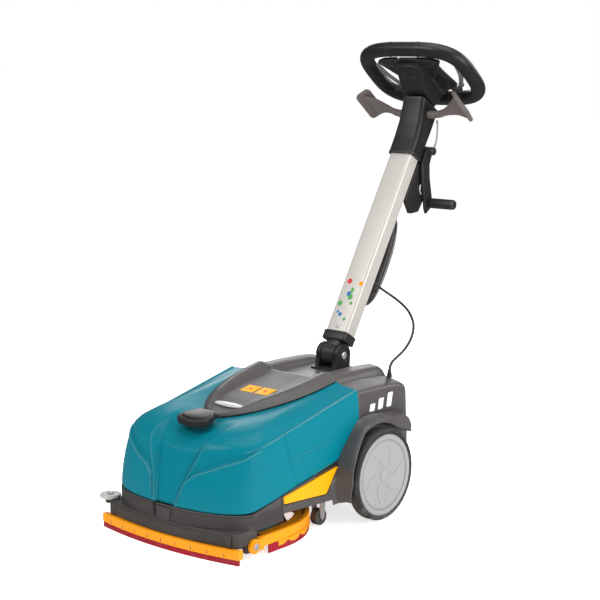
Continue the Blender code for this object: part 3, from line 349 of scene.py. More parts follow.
def piece(name, mesh, look, body, stands_for=(), angle=35.0):
    """Put a finished mesh, in world places, on a body."""
    mesh.name = name
    mesh.shade_smooth()
    mesh.set_sharp_from_angle(angle=math.radians(angle))
    mesh.materials.clear()
    mesh.materials.append(LOOKS[look])
    result = linked(bpy.data.objects.new(name, mesh))
    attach(result, body)
    if stands_for:
        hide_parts(*stands_for)
    return result


def final_mesh(source, *extras):
    """The source's mesh with its modifiers applied.  The source and the extras are removed."""
    bpy.context.view_layer.update()
    mesh = bpy.data.meshes.new_from_object(source.evaluated_get(bpy.context.evaluated_depsgraph_get()))
    for thing in (source, *extras):
        bpy.data.objects.remove(thing, do_unlink=True)
    return mesh


def carve(mesh, *cutters):
    """The mesh with the cutters' meshes taken away from it."""
    base = linked(bpy.data.objects.new("carved", mesh))
    tools = [linked(bpy.data.objects.new("cutter", cutter)) for cutter in cutters]
    for tool in tools:
        modifier = base.modifiers.new("Cut", "BOOLEAN")
        modifier.operation = "DIFFERENCE"
        modifier.solver = "EXACT"
        modifier.object = tool
    return final_mesh(base, *tools)


def bevelled(mesh, width, segments):
    """The mesh with its sharp edges rounded."""
    base = linked(bpy.data.objects.new("bevelled", mesh))
    modifier = base.modifiers.new("Bevel", "BEVEL")
    modifier.width = width
    modifier.segments = segments
    modifier.limit_method = "ANGLE"
    modifier.angle_limit = math.radians(30.0)
    return final_mesh(base)


def thickened(thing, thickness, offset=-1.0):
    """Give an open sheet a wall."""
    wall = thing.modifiers.new("Solidify", "SOLIDIFY")
    wall.thickness = thickness
    wall.offset = offset


def arc(centre, radius, start, end, count):
    return [(centre[0] + radius * math.cos(math.radians(start + (end - start) * i / count)),
             centre[1] + radius * math.sin(math.radians(start + (end - start) * i / count)))
            for i in range(count + 1)]


def oval(radius_x, radius_y, height, count):
    """Points of a level oval."""
    return [(radius_x * math.cos(t), radius_y * math.sin(t), height)
            for t in np.linspace(0, math.tau, count, endpoint=False)]


def rounded_rectangle(half_x, half_y, radius, count=6):
    outline = []
    for number, (side_x, side_y) in enumerate(((1, 1), (-1, 1), (-1, -1), (1, -1))):
        corner = (side_x * (half_x - radius), side_y * (half_y - radius))
        outline += arc(corner, radius, 90.0 * number, 90.0 * (number + 1), count)
    return outline


def filleted(points, radius, count=4, closed=True):
    """Round the corners of an outline or route: each corner becomes a short curve."""
    points = [Vector(p) for p in points]
    total = len(points)
    result = []
    for index, corner in enumerate(points):
        if not closed and index in (0, total - 1):
            result.append(corner)
            continue
        before = points[index - 1]
        after = points[(index + 1) % total]
        first = corner + (before - corner).normalized() * min(radius, 0.45 * (before - corner).length)
        last = corner + (after - corner).normalized() * min(radius, 0.45 * (after - corner).length)
        for step in range(count + 1):
            t = step / count
            result.append(first * (1 - t) ** 2 + corner * 2 * t * (1 - t) + last * t ** 2)
    return result


def poly_curve(name, points, closed=False, radii=None, **settings):
    """A curve object of straight stretches through the points."""
    curve = bpy.data.curves.new(name, "CURVE")
    for setting, value in settings.items():
        setattr(curve, setting, value)
    spline = curve.splines.new("POLY")
    spline.points.add(len(points) - 1)
    for index, (point, place) in enumerate(zip(spline.points, points)):
        point.co = (*place, 1.0)
        point.radius = radii[index] if radii else 1.0
    spline.use_smooth = True
    spline.use_cyclic_u = closed
    return linked(bpy.data.objects.new(name, curve))


def plate_mesh(outline, thickness, edge=0.0, facing="Z", centre=(0, 0, 0), rounds=2):
    """A flat outline with rounded rims, its thickness along the facing axis."""
    source = poly_curve("plate", [(p[0], p[1], 0.0) for p in outline], True, dimensions="2D", fill_mode="BOTH",
                        extrude=thickness / 2 - edge, bevel_depth=edge, bevel_resolution=rounds, offset=-edge)
    return moved(outward(welded(final_mesh(source))), FACING[facing], shift(*centre))


def slab_mesh(outline, low, top, edge, place=(0.0, 0.0)):
    """A plate that lies level, from one height to another."""
    return plate_mesh(outline, top - low, edge, centre=(*place, (top + low) / 2))


def box_mesh(low, high, edge=0.0, segments=3):
    low = Vector(low)
    high = Vector(high)
    work = bmesh.new()
    bmesh.ops.create_cube(work, size=1.0)
    bmesh.ops.scale(work, vec=high - low, verts=work.verts)
    bmesh.ops.translate(work, vec=(low + high) / 2, verts=work.verts)
    if edge:
        bmesh.ops.bevel(work, geom=work.edges[:], offset=edge, segments=segments, affect="EDGES", profile=0.5)
    mesh = bpy.data.meshes.new("box")
    work.to_mesh(mesh)
    work.free()
    return mesh


def lathe_mesh(profile, axis="Z", centre=(0, 0, 0), steps=64, closed=False, rounding=0.0):
    """A turned mesh.  The profile is (radius, height) down its outer side."""
    if rounding:
        profile = [(max(0.0, p.x), p.y) for p in filleted([(r, h) for r, h in profile], rounding, 3, closed)]
    ring = np.array(profile)
    turns = np.linspace(0.0, math.tau, steps, endpoint=False)
    points = np.stack([ring[:, None, 0] * np.cos(turns), ring[:, None, 0] * np.sin(turns),
                       np.repeat(ring[:, 1:2], steps, axis=1)], axis=-1).reshape(-1, 3)
    rows = len(ring)
    faces = []
    for row in range(rows if closed else rows - 1):
        after = (row + 1) % rows
        for step in range(steps):
            right = (step + 1) % steps
            faces.append((row * steps + step, after * steps + step, after * steps + right, row * steps + right))
    mesh = welded(mesh_from("lathe", points, faces))
    return moved(outward(mesh), ALONG[axis], shift(*centre))


def tube_mesh(points, radius, sides=16, closed=False):
    """A round tube through the points; the radius is one number or one per point."""
    points = [Vector(p) for p in points]
    radii = radius if isinstance(radius, (list, tuple)) else [radius] * len(points)
    source = poly_curve("tube", points, closed, radii, dimensions="3D", bevel_depth=1.0,
                        bevel_resolution=max(1, sides // 4 - 1), use_fill_caps=not closed)
    return outward(welded(final_mesh(source)))


def loft_mesh(rings, capped=True, closed=False):
    """Rings of equal point counts joined into a skin."""
    rings = np.array([[tuple(p) for p in ring] for ring in rings])
    rows, count = rings.shape[:2]
    faces = []
    for row in range(rows if closed else rows - 1):
        after = (row + 1) % rows
        for step in range(count):
            right = (step + 1) % count
            faces.append((row * count + step, row * count + right, after * count + right, after * count + step))
    if capped and not closed:
        faces.append(tuple(range(count))[::-1])
        faces.append(tuple((rows - 1) * count + step for step in range(count)))
    return outward(mesh_from("loft", rings.reshape(-1, 3), faces))


def grid_mesh(points, flip=False):
    """An open sheet out of a grid of points, rows by columns."""
    rows, columns = points.shape[:2]
    index = np.arange(rows * columns).reshape(rows, columns)
    corners = (index[:-1, :-1], index[:-1, 1:], index[1:, 1:], index[1:, :-1])
    faces = np.stack([c.ravel() for c in (corners[::-1] if flip else corners)], axis=-1)
    return mesh_from("grid", points.reshape(-1, 3), [tuple(int(i) for i in face) for face in faces])


def line_length(points):
    return sum((b - a).length for a, b in zip(points[:-1], points[1:]))


def evenly_spaced(fine, wanted, slack=0.0):
    """The wanted number of points, picked at even distances along a fine line."""
    total = line_length(fine)
    points = [fine[0]]
    walked = 0.0
    for a, b in zip(fine[:-1], fine[1:]):
        walked += (b - a).length
        if walked >= len(points) * total / wanted - slack and len(points) < wanted:
            points.append(b)
    return points


def smooth_route(route, spacing):
    """Evenly spaced points of a Catmull-Rom curve through the route's points."""
    route = [Vector(p) for p in route]
    ends = [2 * route[0] - route[1], *route, 2 * route[-1] - route[-2]]
    fine = []
    steps = 24
    for index in range(1, len(ends) - 2):
        before, first, second, after = ends[index - 1:index + 3]
        for step in range(steps):
            t = step / steps
            fine.append(0.5 * (2 * first + (second - before) * t
                               + (2 * before - 5 * first + 4 * second - after) * t ** 2
                               + (3 * first - before - 3 * second + after) * t ** 3))
    fine.append(route[-1])
    wanted = max(2, round(line_length(fine) / spacing))
    return [*evenly_spaced(fine, wanted, 1e-6), fine[-1]]


def screw_mesh(radius, height, axis, centre, socket=0.45):
    """A domed screw head with a round socket."""
    profile = [(0.0, height * 0.45), (radius * socket, height * 0.45), (radius * socket * 1.1, height * 0.95),
               (radius * 0.75, height * 0.92), (radius * 0.97, height * 0.55), (radius, 0.0), (0.0, 0.0)]
    return lathe_mesh(profile, axis, centre, 24)


def mirrored(name):
    """The left and the right piece's name, each with the sign of its side."""
    return ((f"left_{name}", -1.0), (f"right_{name}", 1.0))


def both_halves(half):
    """An outline's half and its mirror image."""
    return half + [(-x, y) for x, y in reversed(half)]


def step(low, high, value):
    share = np.clip((value - low) / (high - low), 0.0, 1.0)
    return share * share * (3 - 2 * share)


# ---------------------------------------------------------------- control cable
CABLE_RADIUS = 0.0033
CABLE_ROUTE = [(0.018, 0.2197, 0.5136), (0.03, 0.24, 0.496), (0.05, 0.274, 0.468),
               (0.072, 0.292, 0.44), (0.094, 0.286, 0.408), (0.115, 0.248, 0.38),
               (0.132, 0.196, 0.36), (0.146, 0.145, 0.35), (0.156, 0.113, 0.345),
               (0.16, 0.0975, 0.332), (0.16, 0.097, 0.323)]
UPPER_GROMMET = Vector((0.018, 0.0218, 0.215))
LOWER_GROMMET = Vector((0.16, 0.097, 0.309))


def build_cable():
    start = HANDLE @ (UPPER_GROMMET + Vector((0, 0.0084, 0)))
    end = LOWER_GROMMET + Vector((0, 0, 0.0084))
    route = [start, *smooth_route(CABLE_ROUTE, 0.015), end]
    lead = poly_curve("control_cable_lead", route, dimensions="3D", bevel_depth=CABLE_RADIUS, bevel_resolution=4,
                      use_fill_caps=True)
    lead.data.materials.append(LOOKS["cable_black"])
    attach(lead, "chassis")
    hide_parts("control_cable")
    boot = [(0.0036, 0.019), (0.0048, 0.018), (0.005, 0.015), (0.0044, 0.0145), (0.0044, 0.013),
            (0.0056, 0.0125), (0.0058, 0.0095), (0.005, 0.009), (0.005, 0.0075), (0.0065, 0.007),
            (0.0065, 0.0), (0.0034, 0.0)]
    upper = moved(lathe_mesh(boot, "Y", UPPER_GROMMET, 24, True), HANDLE)
    piece("upper_cable_boot", upper, "cable_black", "handle", ("upper_grommet",))
    piece("lower_cable_boot", lathe_mesh(boot, "Z", LOWER_GROMMET, 24, True), "cable_black", "chassis",
          ("lower_grommet",))


# ---------------------------------------------------------------- body surfaces
SIDE_SHARE = 0.42
TANK_LEVELS = (
    (0.2055, -0.44, -0.527, 2.2),
    (0.206, -0.43, -0.516, 2.2),
    (0.2, -0.41, -0.491, 2.3),
    (0.165, -0.36, -0.452, 2.1),
)


def lid_half_width(y):
    reach = np.maximum(0.0, (LID_WIDEST - y) / (LID_WIDEST - LID_TIP))
    return LID_HALF * np.maximum(0.0, 1.0 - reach ** 2) ** 0.62


def lid_edge_height(y):
    return LID_TIP_HEIGHT + LID_SLOPE * (y - LID_TIP)


def tank_lower_edge(y):
    ahead = np.minimum(y, -0.135) + 0.455
    rise = 0.1 * (ahead + np.sqrt(ahead ** 2 + 0.0016))
    return DECK_TOP + 0.0008 + rise + 0.95 * np.maximum(0.0, y + 0.135)


def tank_crease_height(y):
    return 0.237 + 0.218 * (y + 0.445)


def level_points(level, along):
    """Points of one level of the tank's outline; along is -1 at the left rear and 1 at the right rear."""
    share = np.abs(along)
    turn = math.pi / 2 * np.clip(share / SIDE_SHARE, 0.0, 1.0)
    bend, front = (-0.2, LID_TIP) if level == 4 else TANK_LEVELS[level][1:3]
    back = bend + (TANK_REAR - bend) * (share - SIDE_SHARE) / (1.0 - SIDE_SHARE)
    if level == 4:
        y = np.where(share > SIDE_SHARE, back, bend - (bend - front) * np.cos(turn))
        x = lid_half_width(y)
    else:
        half, _, _, squareness = TANK_LEVELS[level]
        power = 2 / squareness
        y = np.where(share > SIDE_SHARE, back, bend - (bend - front) * np.abs(np.cos(turn)) ** power)
        x = np.where(share > SIDE_SHARE, half, half * np.abs(np.sin(turn)) ** power)
    low = tank_lower_edge(y)
    crease = tank_crease_height(y)
    valley = 0.011 * np.exp(-(x / 0.07) ** 2) + 0.006
    z = (low, (low + crease) / 2, crease, 0.277 + 0.15 * (y + 0.396) - valley, lid_edge_height(y))[level]
    return np.stack([np.copysign(x, along), y, z], axis=-1)


def tank_points(along, up):
    """Points of the tank's outside; up is 0 at the lower edge, 1 at the crease and 2 at the lid."""
    levels = [level_points(level, along) for level in range(5)]
    rows = []
    for value in up:
        base = 0 if value <= 1.0 else 2
        share = value if value <= 1.0 else value - 1.0
        start, middle, end = levels[base:base + 3]
        control = 2 * middle - (start + end) / 2
        rows.append(start * (1 - share) ** 2 + control * 2 * share * (1 - share) + end * share ** 2)
    return np.array(rows)


def even_columns(count):
    """Places round the tank, evenly spaced along its outline."""
    fine = np.linspace(-1.0, 1.0, 4001)
    ring = tank_points(fine, [0.9])[0]
    closeness = 1.0 + 2.2 * np.exp(-(ring[1:, 0] / 0.11) ** 4) * (ring[1:, 1] < -0.3)
    walked = np.concatenate([[0.0], np.cumsum(np.linalg.norm(np.diff(ring, axis=0), axis=1) * closeness)])
    return np.interp(np.linspace(0.0, walked[-1], count), walked, fine)


def grid_normals(points):
    across = np.gradient(points, axis=1)
    up = np.gradient(points, axis=0)
    normal = np.cross(across, up)
    return normal / np.maximum(1e-9, np.linalg.norm(normal, axis=-1, keepdims=True))


def line_distance(points, line):
    """Distance of each point from a route of straight stretches."""
    best = np.full(points.shape[:-1], 9.0)
    for a, b in zip(line[:-1], line[1:]):
        a = np.array(a)
        d = np.array(b) - a
        share = np.clip(((points - a) @ d) / (d @ d), 0.0, 1.0)
        best = np.minimum(best, np.linalg.norm(points - a - share[..., None] * d, axis=-1))
    return best


def along_line(value, corners):
    """The height over each value of a line with corners, given as pairs."""
    return np.interp(value, *zip(*corners))


# Where the tank's front valley, front panel and side groove run.
VALLEY = ((0.095, 0.025), (0.107, 0.0266), (0.1685, 0.0422), (0.2296, 0.0636), (0.2578, 0.0707), (0.3, 0.1))
PANEL_EDGE = ((0.03, 0.095), (0.0394, 0.11), (0.0534, 0.159), (0.0663, 0.17), (0.0766, 0.179), (0.116, 0.194),
              (0.1397, 0.205), (0.1813, 0.221), (0.206, 0.243))
SIDE_GROOVE = ((-0.344, 0.266), (-0.331, 0.203), (-0.3036, 0.134), (-0.3, 0.12))
SIDE_LINE = ((-0.3105, 0.1985), (-0.19, 0.216))


def build_tank():
    along = even_columns(430)
    up = np.concatenate([np.linspace(0.0, 1.0, 74), np.linspace(1.0, 2.0, 74)[1:]])
    base = tank_points(along, up)
    normal = grid_normals(base)
    x = np.abs(base[..., 0])
    z = base[..., 2]
    levels = np.repeat(up[:, None], len(along), axis=1)

    inner = along_line(z, VALLEY)
    width = np.interp(z, [0.1, 0.17, 0.26], [0.006, 0.012, 0.022])
    front = step(-0.34, -0.42, base[..., 1])
    depth = np.interp(z, [0.098, 0.14, 0.2, 0.245, 0.275], [0.005, 0.012, 0.0175, 0.0145, 0.002]) * front
    lift = -depth * (1.0 - step(0.0, 1.0, (x - inner) / width))
    lift -= 0.0016 * front * np.exp(-((x - inner) / 0.0016) ** 2) * step(0.262, 0.235, z)
    lift += 0.0022 * front * np.exp(-((x - inner - width) / 0.0045) ** 2) * step(0.275, 0.2, z)

    edge = along_line(x, PANEL_EDGE)
    above = step(edge - 0.0016, edge + 0.0034, z)
    fade = step(edge + 0.06, edge + 0.002, z)
    corner = step(-0.395, -0.445, base[..., 1])
    lift -= 0.006 * above * fade * corner * step(0.03, 0.05, x)
    lift += 0.0018 * np.exp(-((z - edge + 0.003) / 0.0026) ** 2) * corner * step(0.03, 0.045, x)

    lift += 0.0028 * np.exp(-((levels - 1.0) / 0.024) ** 2) * step(0.15, 0.185, x) \
        * step(-0.462, -0.44, base[..., 1])
    ripple_mask = step(0.135, 0.165, x) * step(-0.425, -0.455, base[..., 1]) * step(0.108, 0.125, z)
    ripple_mask = ripple_mask * step(0.222, 0.205, z)
    lift += 0.00042 * np.sin((z + 0.1 * (x - 0.17)) * math.tau / 0.0105) * ripple_mask
    flute = step(0.12, 0.15, x) * step(0.198, 0.186, x)
    lift += 0.001 * np.sin((levels - 1.0) * math.tau * 2.2) * flute * step(1.02, 1.1, levels) \
        * step(1.62, 1.45, levels) * step(-0.36, -0.42, base[..., 1])

    side = np.stack([base[..., 1], base[..., 2]], axis=-1)
    on_side = step(0.185, 0.192, x)
    lift -= 0.002 * np.exp(-(line_distance(side, SIDE_GROOVE) / 0.0016) ** 2) * on_side
    lift += 0.0022 * np.exp(-(line_distance(side, SIDE_LINE) / 0.0018) ** 2) * on_side
    rear_lift = step(-0.335, -0.328, base[..., 1] + 0.28 * (base[..., 2] - 0.2)) * on_side
    lift -= 0.0008 * rear_lift * step(2.0, 1.1, levels)
    hem = step(0.045, 0.0, levels)
    lift -= 0.0022 * hem
    shell = base + normal * lift[..., None]
    skin = grid_mesh(shell)
    deep = lift.copy()
    for axis in (0, 1):
        deep = np.minimum.reduce([np.roll(deep, shift_by, axis) for shift_by in (-2, -1, 0, 1, 2)])
    lining = (base + normal * (deep - 0.0045)[..., None])[::3, ::3]
    piece("tank_body", merged(skin, grid_mesh(lining, flip=True)), "teal_plastic", "chassis", ("tank_shell",), 60.0)


LID_PROFILE = ((0.0, 0.0075), (0.3, 0.0075), (0.52, 0.0085), (0.62, 0.015), (0.72, 0.019),
               (0.82, 0.017), (0.92, 0.01), (1.0, 0.0035))


def lid_profile(share):
    fine = np.linspace(0.0, 1.0, 401)
    heights = along_line(fine, LID_PROFILE)
    soft = np.convolve(np.pad(heights, 8, mode="edge"), np.ones(17) / 17.0, mode="valid")
    return np.interp(share, fine, soft)


def lid_surface(across, y):
    """Height of the lid's top over a point given as a share of the lid's half width."""
    fade = np.minimum(1.0, (y - LID_TIP) / 0.1)
    height = 0.004 + (lid_profile(np.abs(across)) - 0.0035) * (0.35 + 0.65 * fade)
    height = height - 0.0055 * step(-0.3, -0.11, y) * step(0.66, 0.5, np.abs(across))
    return lid_edge_height(y) + height


def build_lid():
    rows = []
    columns = np.linspace(-1.0, 1.0, 97)
    count = 90
    for row in range(count + 1):
        y = TANK_REAR - 0.001 + (LID_TIP + 0.006 - TANK_REAR) * math.sin(row / count * math.pi / 2)
        width = max(0.004, float(lid_half_width(np.float64(y))) + 0.0012)
        rows.append(np.stack([width * columns, np.full(97, y), lid_surface(columns, y)], axis=-1))
    top = np.array(rows)
    mesh = grid_mesh(top[::-1])
    lid = piece("lid_cover", mesh, "grey_plastic", "lid", ("lid",), 40.0)
    thickened(lid, 0.0028)

    tilt = turn_x(math.atan(LID_SLOPE))
    y = -0.311
    place = shift(0.0, y, lid_edge_height(y) + 0.0088)
    face = moved(plate_mesh(oval(0.045, 0.0115, 0.0, 64), 0.0016, 0.0005), tilt, place)
    border = moved(tube_mesh(oval(0.044, 0.0106, 0.0008, 64), 0.0007, 8, True), tilt, place)
    stroke = [(-0.026 + 0.0065 * i, 0.0012 * math.sin(i * 1.3), 0.0008) for i in range(9)]
    wave = moved(tube_mesh(smooth_route(stroke, 0.002), 0.0009, 8), tilt, place)
    piece("oval_badge", merged(face, border, wave), "badge_silver", "lid", ("lid_badge",))
    y = -0.209
    for number, across in enumerate((-0.0235, 0.0235)):
        place = shift(across, y, float(lid_surface(0.0, y)) + 0.0006)
        plate = plate_mesh(filleted([(-0.0205, -0.0185), (0.0205, -0.0185), (0.0205, 0.0185), (-0.0205, 0.0185)],
                                    0.002, 3), 0.0012, 0.0004)
        piece(f"yellow_label_{number + 1}", moved(plate, tilt, place), "yellow_plastic", "lid")
        dot = lathe_mesh([(0.0, 0.0011), (0.0042, 0.0011), (0.0048, 0.0006), (0.0048, 0.0), (0.0, 0.0)], steps=32)
        piece(f"label_dot_{number + 1}", moved(dot, tilt, place), "mark_orange", "lid")


def build_lid_latch():
    outline = [(-0.046, -0.058), (-0.034, -0.074), (0.0, -0.079), (0.034, -0.074), (0.046, -0.058),
               (0.043, -0.034), (0.026, -0.006), (-0.026, -0.006), (-0.043, -0.034)]
    place = shift(0, LID_TIP - 0.004, 0.285) @ turn_x(math.radians(9.0))
    body = plate_mesh(filleted(outline, 0.007, 4), 0.0165, 0.0034, rounds=3)
    crown = plate_mesh(filleted([(x * 0.84, -0.036 + (y + 0.036) * 0.7) for x, y in outline], 0.006, 4), 0.0165,
                       0.0022, centre=(0, 0, 0.0014), rounds=3)
    ridge = tube_mesh(smooth_route([(-0.036, -0.052, 0.0082), (-0.018, -0.0605, 0.0092), (0.0, -0.063, 0.0094),
                                    (0.018, -0.0605, 0.0092), (0.036, -0.052, 0.0082)], 0.004), 0.0022, 12)
    piece("latch_knob", moved(merged(body, crown, ridge), place), "black_plastic", "lid_latch", ("lid_latch",))


# ---------------------------------------------------------------- deck, side panels and hood
def bowed_front(half, front, bow, count=40):
    return [(x, front + bow * (x / half) ** 2) for x in np.linspace(-half, half, count)]


def build_deck():
    reach = DECK_HALF - DECK_CORNER
    corner_y = DECK_FRONT + DECK_BOW + DECK_CORNER
    rear_half = SIDE_INNER - GAP
    outline = bowed_front(reach, DECK_FRONT, DECK_BOW) + arc((reach, corner_y), DECK_CORNER, -80.0, 0.0, 8)
    outline += [(DECK_HALF, DECK_STEP_Y), (rear_half, DECK_STEP_Y), (rear_half, DECK_REAR),
                (-rear_half, DECK_REAR), (-rear_half, DECK_STEP_Y), (-DECK_HALF, DECK_STEP_Y)]
    outline += arc((-reach, corner_y), DECK_CORNER, 180.0, 260.0, 8)
    lower = slab_mesh(outline, DECK_BOTTOM, DECK_LEDGE, 0.0022)
    ring = level_points(0, even_columns(300))
    front = [(p[0] * 1.002, p[1] - 0.001) for p in ring if p[1] < DECK_STEP_Y + 0.004]
    collar = np.array([(front[0][0], DECK_STEP_Y + 0.004), *front, (front[-1][0], DECK_STEP_Y + 0.004)])
    centre = np.array((0.0, DECK_STEP_Y))
    inward = (centre - collar) / np.linalg.norm(centre - collar, axis=1, keepdims=True)
    rows = []
    for height, inset in ((DECK_LEDGE - 0.004, -0.0006), (DECK_LEDGE + 0.0016, -0.0006), (DECK_LEDGE + 0.003, 0.0),
                          (0.08, 0.0), (DECK_TOP - 0.0052, 0.0), (DECK_TOP - 0.0046, 0.0009),
                          (DECK_TOP - 0.0036, 0.0009), (DECK_TOP - 0.003, 0.0), (DECK_TOP - 0.0008, 0.0),
                          (DECK_TOP + 0.0003, 0.001), (DECK_TOP + 0.0005, 0.0025), (DECK_TOP - 0.002, 0.004),
                          (DECK_TOP - 0.002, 0.06)):
        flat = collar + inward * inset
        rows.append(np.column_stack([flat, np.full(len(flat), height)]))
    upper = grid_mesh(np.array(rows))
    inner = box_mesh((-rear_half, DECK_STEP_Y - 0.01, 0.06), (rear_half, DECK_REAR, DECK_TOP - 0.0001))
    ear = lathe_mesh([(0.0, -0.0008), (0.0115, -0.0008), (0.012, -0.0018), (0.012, -0.0105), (0.0, -0.0105)],
                     centre=(WALL_ROLLER.x, WALL_ROLLER.y, DECK_LEDGE), steps=32)
    cavity = [(0.0, 0.088), (0.176, 0.088), (0.176, -0.03), (0.0, -0.03)]
    shaft = [(0.0, 0.14), (0.024, 0.14), (0.024, 0.05), (0.0, 0.05)]
    parts = []
    for tier in (lower, inner):
        hollow = lathe_mesh(cavity, centre=(BRUSH.x, BRUSH.y, 0), steps=96)
        skirt = box_mesh((-0.25, -0.4435, -0.01), (0.25, -0.1, SKIRT_BOTTOM))
        parts.append(carve(tier, hollow, skirt, lathe_mesh(shaft, centre=(BRUSH.x, BRUSH.y, 0), steps=40)))
    parts += [upper, ear]
    for side in (-1.0, 1.0):
        wedge = [(-0.4547, DECK_TOP - 0.01), (DECK_STEP_Y, DECK_TOP - 0.01),
                 (DECK_STEP_Y, float(tank_lower_edge(DECK_STEP_Y)) - 0.0008), (-0.4547, DECK_TOP)]
        parts.append(plate_mesh(wedge, 0.012, 0.0, "X", (side * (DECK_HALF - 0.006), 0, 0)))
        parts.append(box_mesh((side * 0.196 - 0.007, -0.474, 0.014), (side * 0.196 + 0.007, -0.444, 0.06), 0.002))
    body = merged(*parts)
    piece("deck_moulding", body, "dark_plastic", "chassis", ("brush_deck",), 32.0)

    front_y = DECK_FRONT + 0.004
    tab = [(-0.024, 0.094), (0.024, 0.094), (0.019, 0.0655), (-0.017, 0.0655)]
    notch = plate_mesh(filleted(tab, 0.002, 3), 0.0036, 0.0008, "Y", (0, front_y - 0.0012, 0))
    piece("deck_front_tab", notch, "dark_plastic", "chassis")
    slot = plate_mesh(filleted([(-0.034, 0.101), (-0.0262, 0.101), (-0.0262, 0.072), (-0.03, 0.072)], 0.001, 2),
                      0.0044, 0.0004, "Y", (0, front_y - 0.0012, 0))
    piece("deck_front_slot", slot, "black_plastic", "chassis")
    seam = [(x, y - 0.0003, DECK_LEDGE - 0.0048) for x, y in bowed_front(reach, DECK_FRONT, DECK_BOW, 60)]
    piece("deck_seam", tube_mesh(seam, 0.0009, 8), "black_plastic", "chassis")
    for name, side in mirrored("deck_corner_rib"):
        rib = plate_mesh(rounded_rectangle(0.009, 0.013, 0.004), 0.003, 0.0012, "Y",
                         (side * 0.183, DECK_FRONT + 0.0185, 0.049))
        piece(name, rib, "dark_plastic", "chassis")


def flat_side(outline, thickness, edge, x):
    return plate_mesh(outline, thickness, edge, "X", (x, 0, 0), 3)


FLARE_TURNS = (31.0, 34.8, 42.6, 51.3, 57.8, 66.0, 75.8, 90.0, 100.0, 108.4, 116.0, 124.0, 132.0, 202.0)
FLARE_RIM = (0.153, 0.1625, 0.1665, 0.1628, 0.1518, 0.1395, 0.132, 0.13, 0.1305, 0.131, 0.1285, 0.1255, 0.123,
             0.123)
FLARE_SPREAD = (0.0, 0.0, 0.0, 0.002, 0.004, 0.006, 0.008, 0.009, 0.009, 0.007, 0.003, 0.001, 0.0005, 0.0005)


def wheel_flare(side):
    """The arch that stands out over the wheel and runs down in front of it to the panel's foot."""
    rings = []
    for degrees in np.linspace(31.0, 202.0, 104):
        turn = math.radians(degrees)
        inner = float(np.interp(degrees, [31.0, 45.4, 56.0, 118.0, 132.0], [0.15, 0.128, 0.1215, 0.1215, 0.1185]))
        rim = float(np.interp(degrees, FLARE_TURNS, FLARE_RIM))
        base = rim + float(np.interp(degrees, FLARE_TURNS, FLARE_SPREAD))
        if degrees > 120.0:
            edge = 0.14 / (math.sin(turn) - 0.95 * math.cos(turn)) - 0.001
            base = float(np.clip(edge, base, 0.144))
        reach = float(np.interp(degrees, [31.0, 50.0, 113.0, 122.0, 150.0, 180.0, 202.0],
                                [0.237, 0.2385, 0.24, 0.243, 0.253, 0.2555, 0.243]))
        low = 0.2068
        soft = min(0.003, (rim - inner) * 0.4)
        section = [(inner, low), (base, low), (base - (base - rim) * 0.5, low + 0.006), (rim, reach - 0.012),
                   (rim, reach - soft), (rim - soft * 0.3, reach - soft * 0.3), (rim - soft, reach),
                   (inner + soft * 0.6, reach), (inner + soft * 0.2, reach - soft * 0.3), (inner, reach - soft)]
        rings.append([(side * x, AXLE.y + r * math.cos(turn), AXLE.z + r * math.sin(turn)) for r, x in section])
    return loft_mesh(rings)


def build_side_panels():
    for name, side in mirrored("side_panel"):
        middle = side * (SIDE_INNER + SIDE_OUTER) / 2
        top = [(y, float(tank_lower_edge(y)) - 0.0008) for y in (-0.135, -0.24, -0.359)]
        shoulder = [(BODY_REAR, 0.2185), (TANK_REAR + 0.001, 0.2185), (TANK_REAR + 0.001, 0.21)]
        foot = [(-0.359, 0.079), (-0.123, 0.0675), (-0.085, 0.069)]
        back = [(-0.058, 0.0865), (0.05, 0.0865), (BODY_REAR - 0.01, 0.12), (BODY_REAR, 0.15)]
        panel = flat_side(filleted(foot + back + shoulder + top, 0.0035, 3), SIDE_OUTER - SIDE_INNER, 0.0024, middle)
        pocket = [(-0.3555, 0.0985), (-0.203, 0.0885), (-0.158, 0.15), (-0.155, 0.19),
                  (-0.245, 0.19), (-0.245, 0.1375), (-0.358, 0.119)]
        recess = flat_side(filleted(pocket, 0.003, 3), 0.017, 0.0, side * SIDE_OUTER)
        panel = carve(panel, recess)
        screws = [screw_mesh(0.0048, 0.0022, outward_axis(side), (side * SIDE_OUTER, y, z))
                  for y, z in ((-0.118, 0.102), (-0.132, 0.176))]
        piece(f"{name}_moulding", merged(outward(panel), wheel_flare(side)), "grey_plastic", "chassis", (name,), 32.0)
        piece(f"{name}_screws", merged(*screws), "black_plastic", "chassis")
        # A black sheet on the recess floor above the latch paints the shade that falls into the finger recess.
        finger = [(-0.245, 0.14), (-0.164, 0.15), (-0.16, 0.186), (-0.241, 0.17)]
        dark = flat_side(filleted(finger, 0.004, 3), 0.002, 0.0008, side * (SIDE_OUTER - 0.0078))
        piece(f"{name}_finger_recess_painted_shade", dark, "black_plastic", "chassis")


def build_side_latches():
    for name, side in mirrored("side_latch"):
        corners = [(-0.3535, 0.0998), (-0.2045, 0.0898), (-0.161, 0.1475), (-0.3565, 0.1175)]
        body = flat_side(filleted(corners, 0.0045, 4), 0.0078, 0.003, side * 0.2048)
        inner = [(-0.346, 0.103), (-0.208, 0.0945), (-0.176, 0.139), (-0.347, 0.1135)]
        face = flat_side(filleted(inner, 0.0035, 4), 0.003, 0.0012, side * 0.2076)
        piece(f"{name}_handle", merged(body, face), "yellow_plastic", name, (name,))


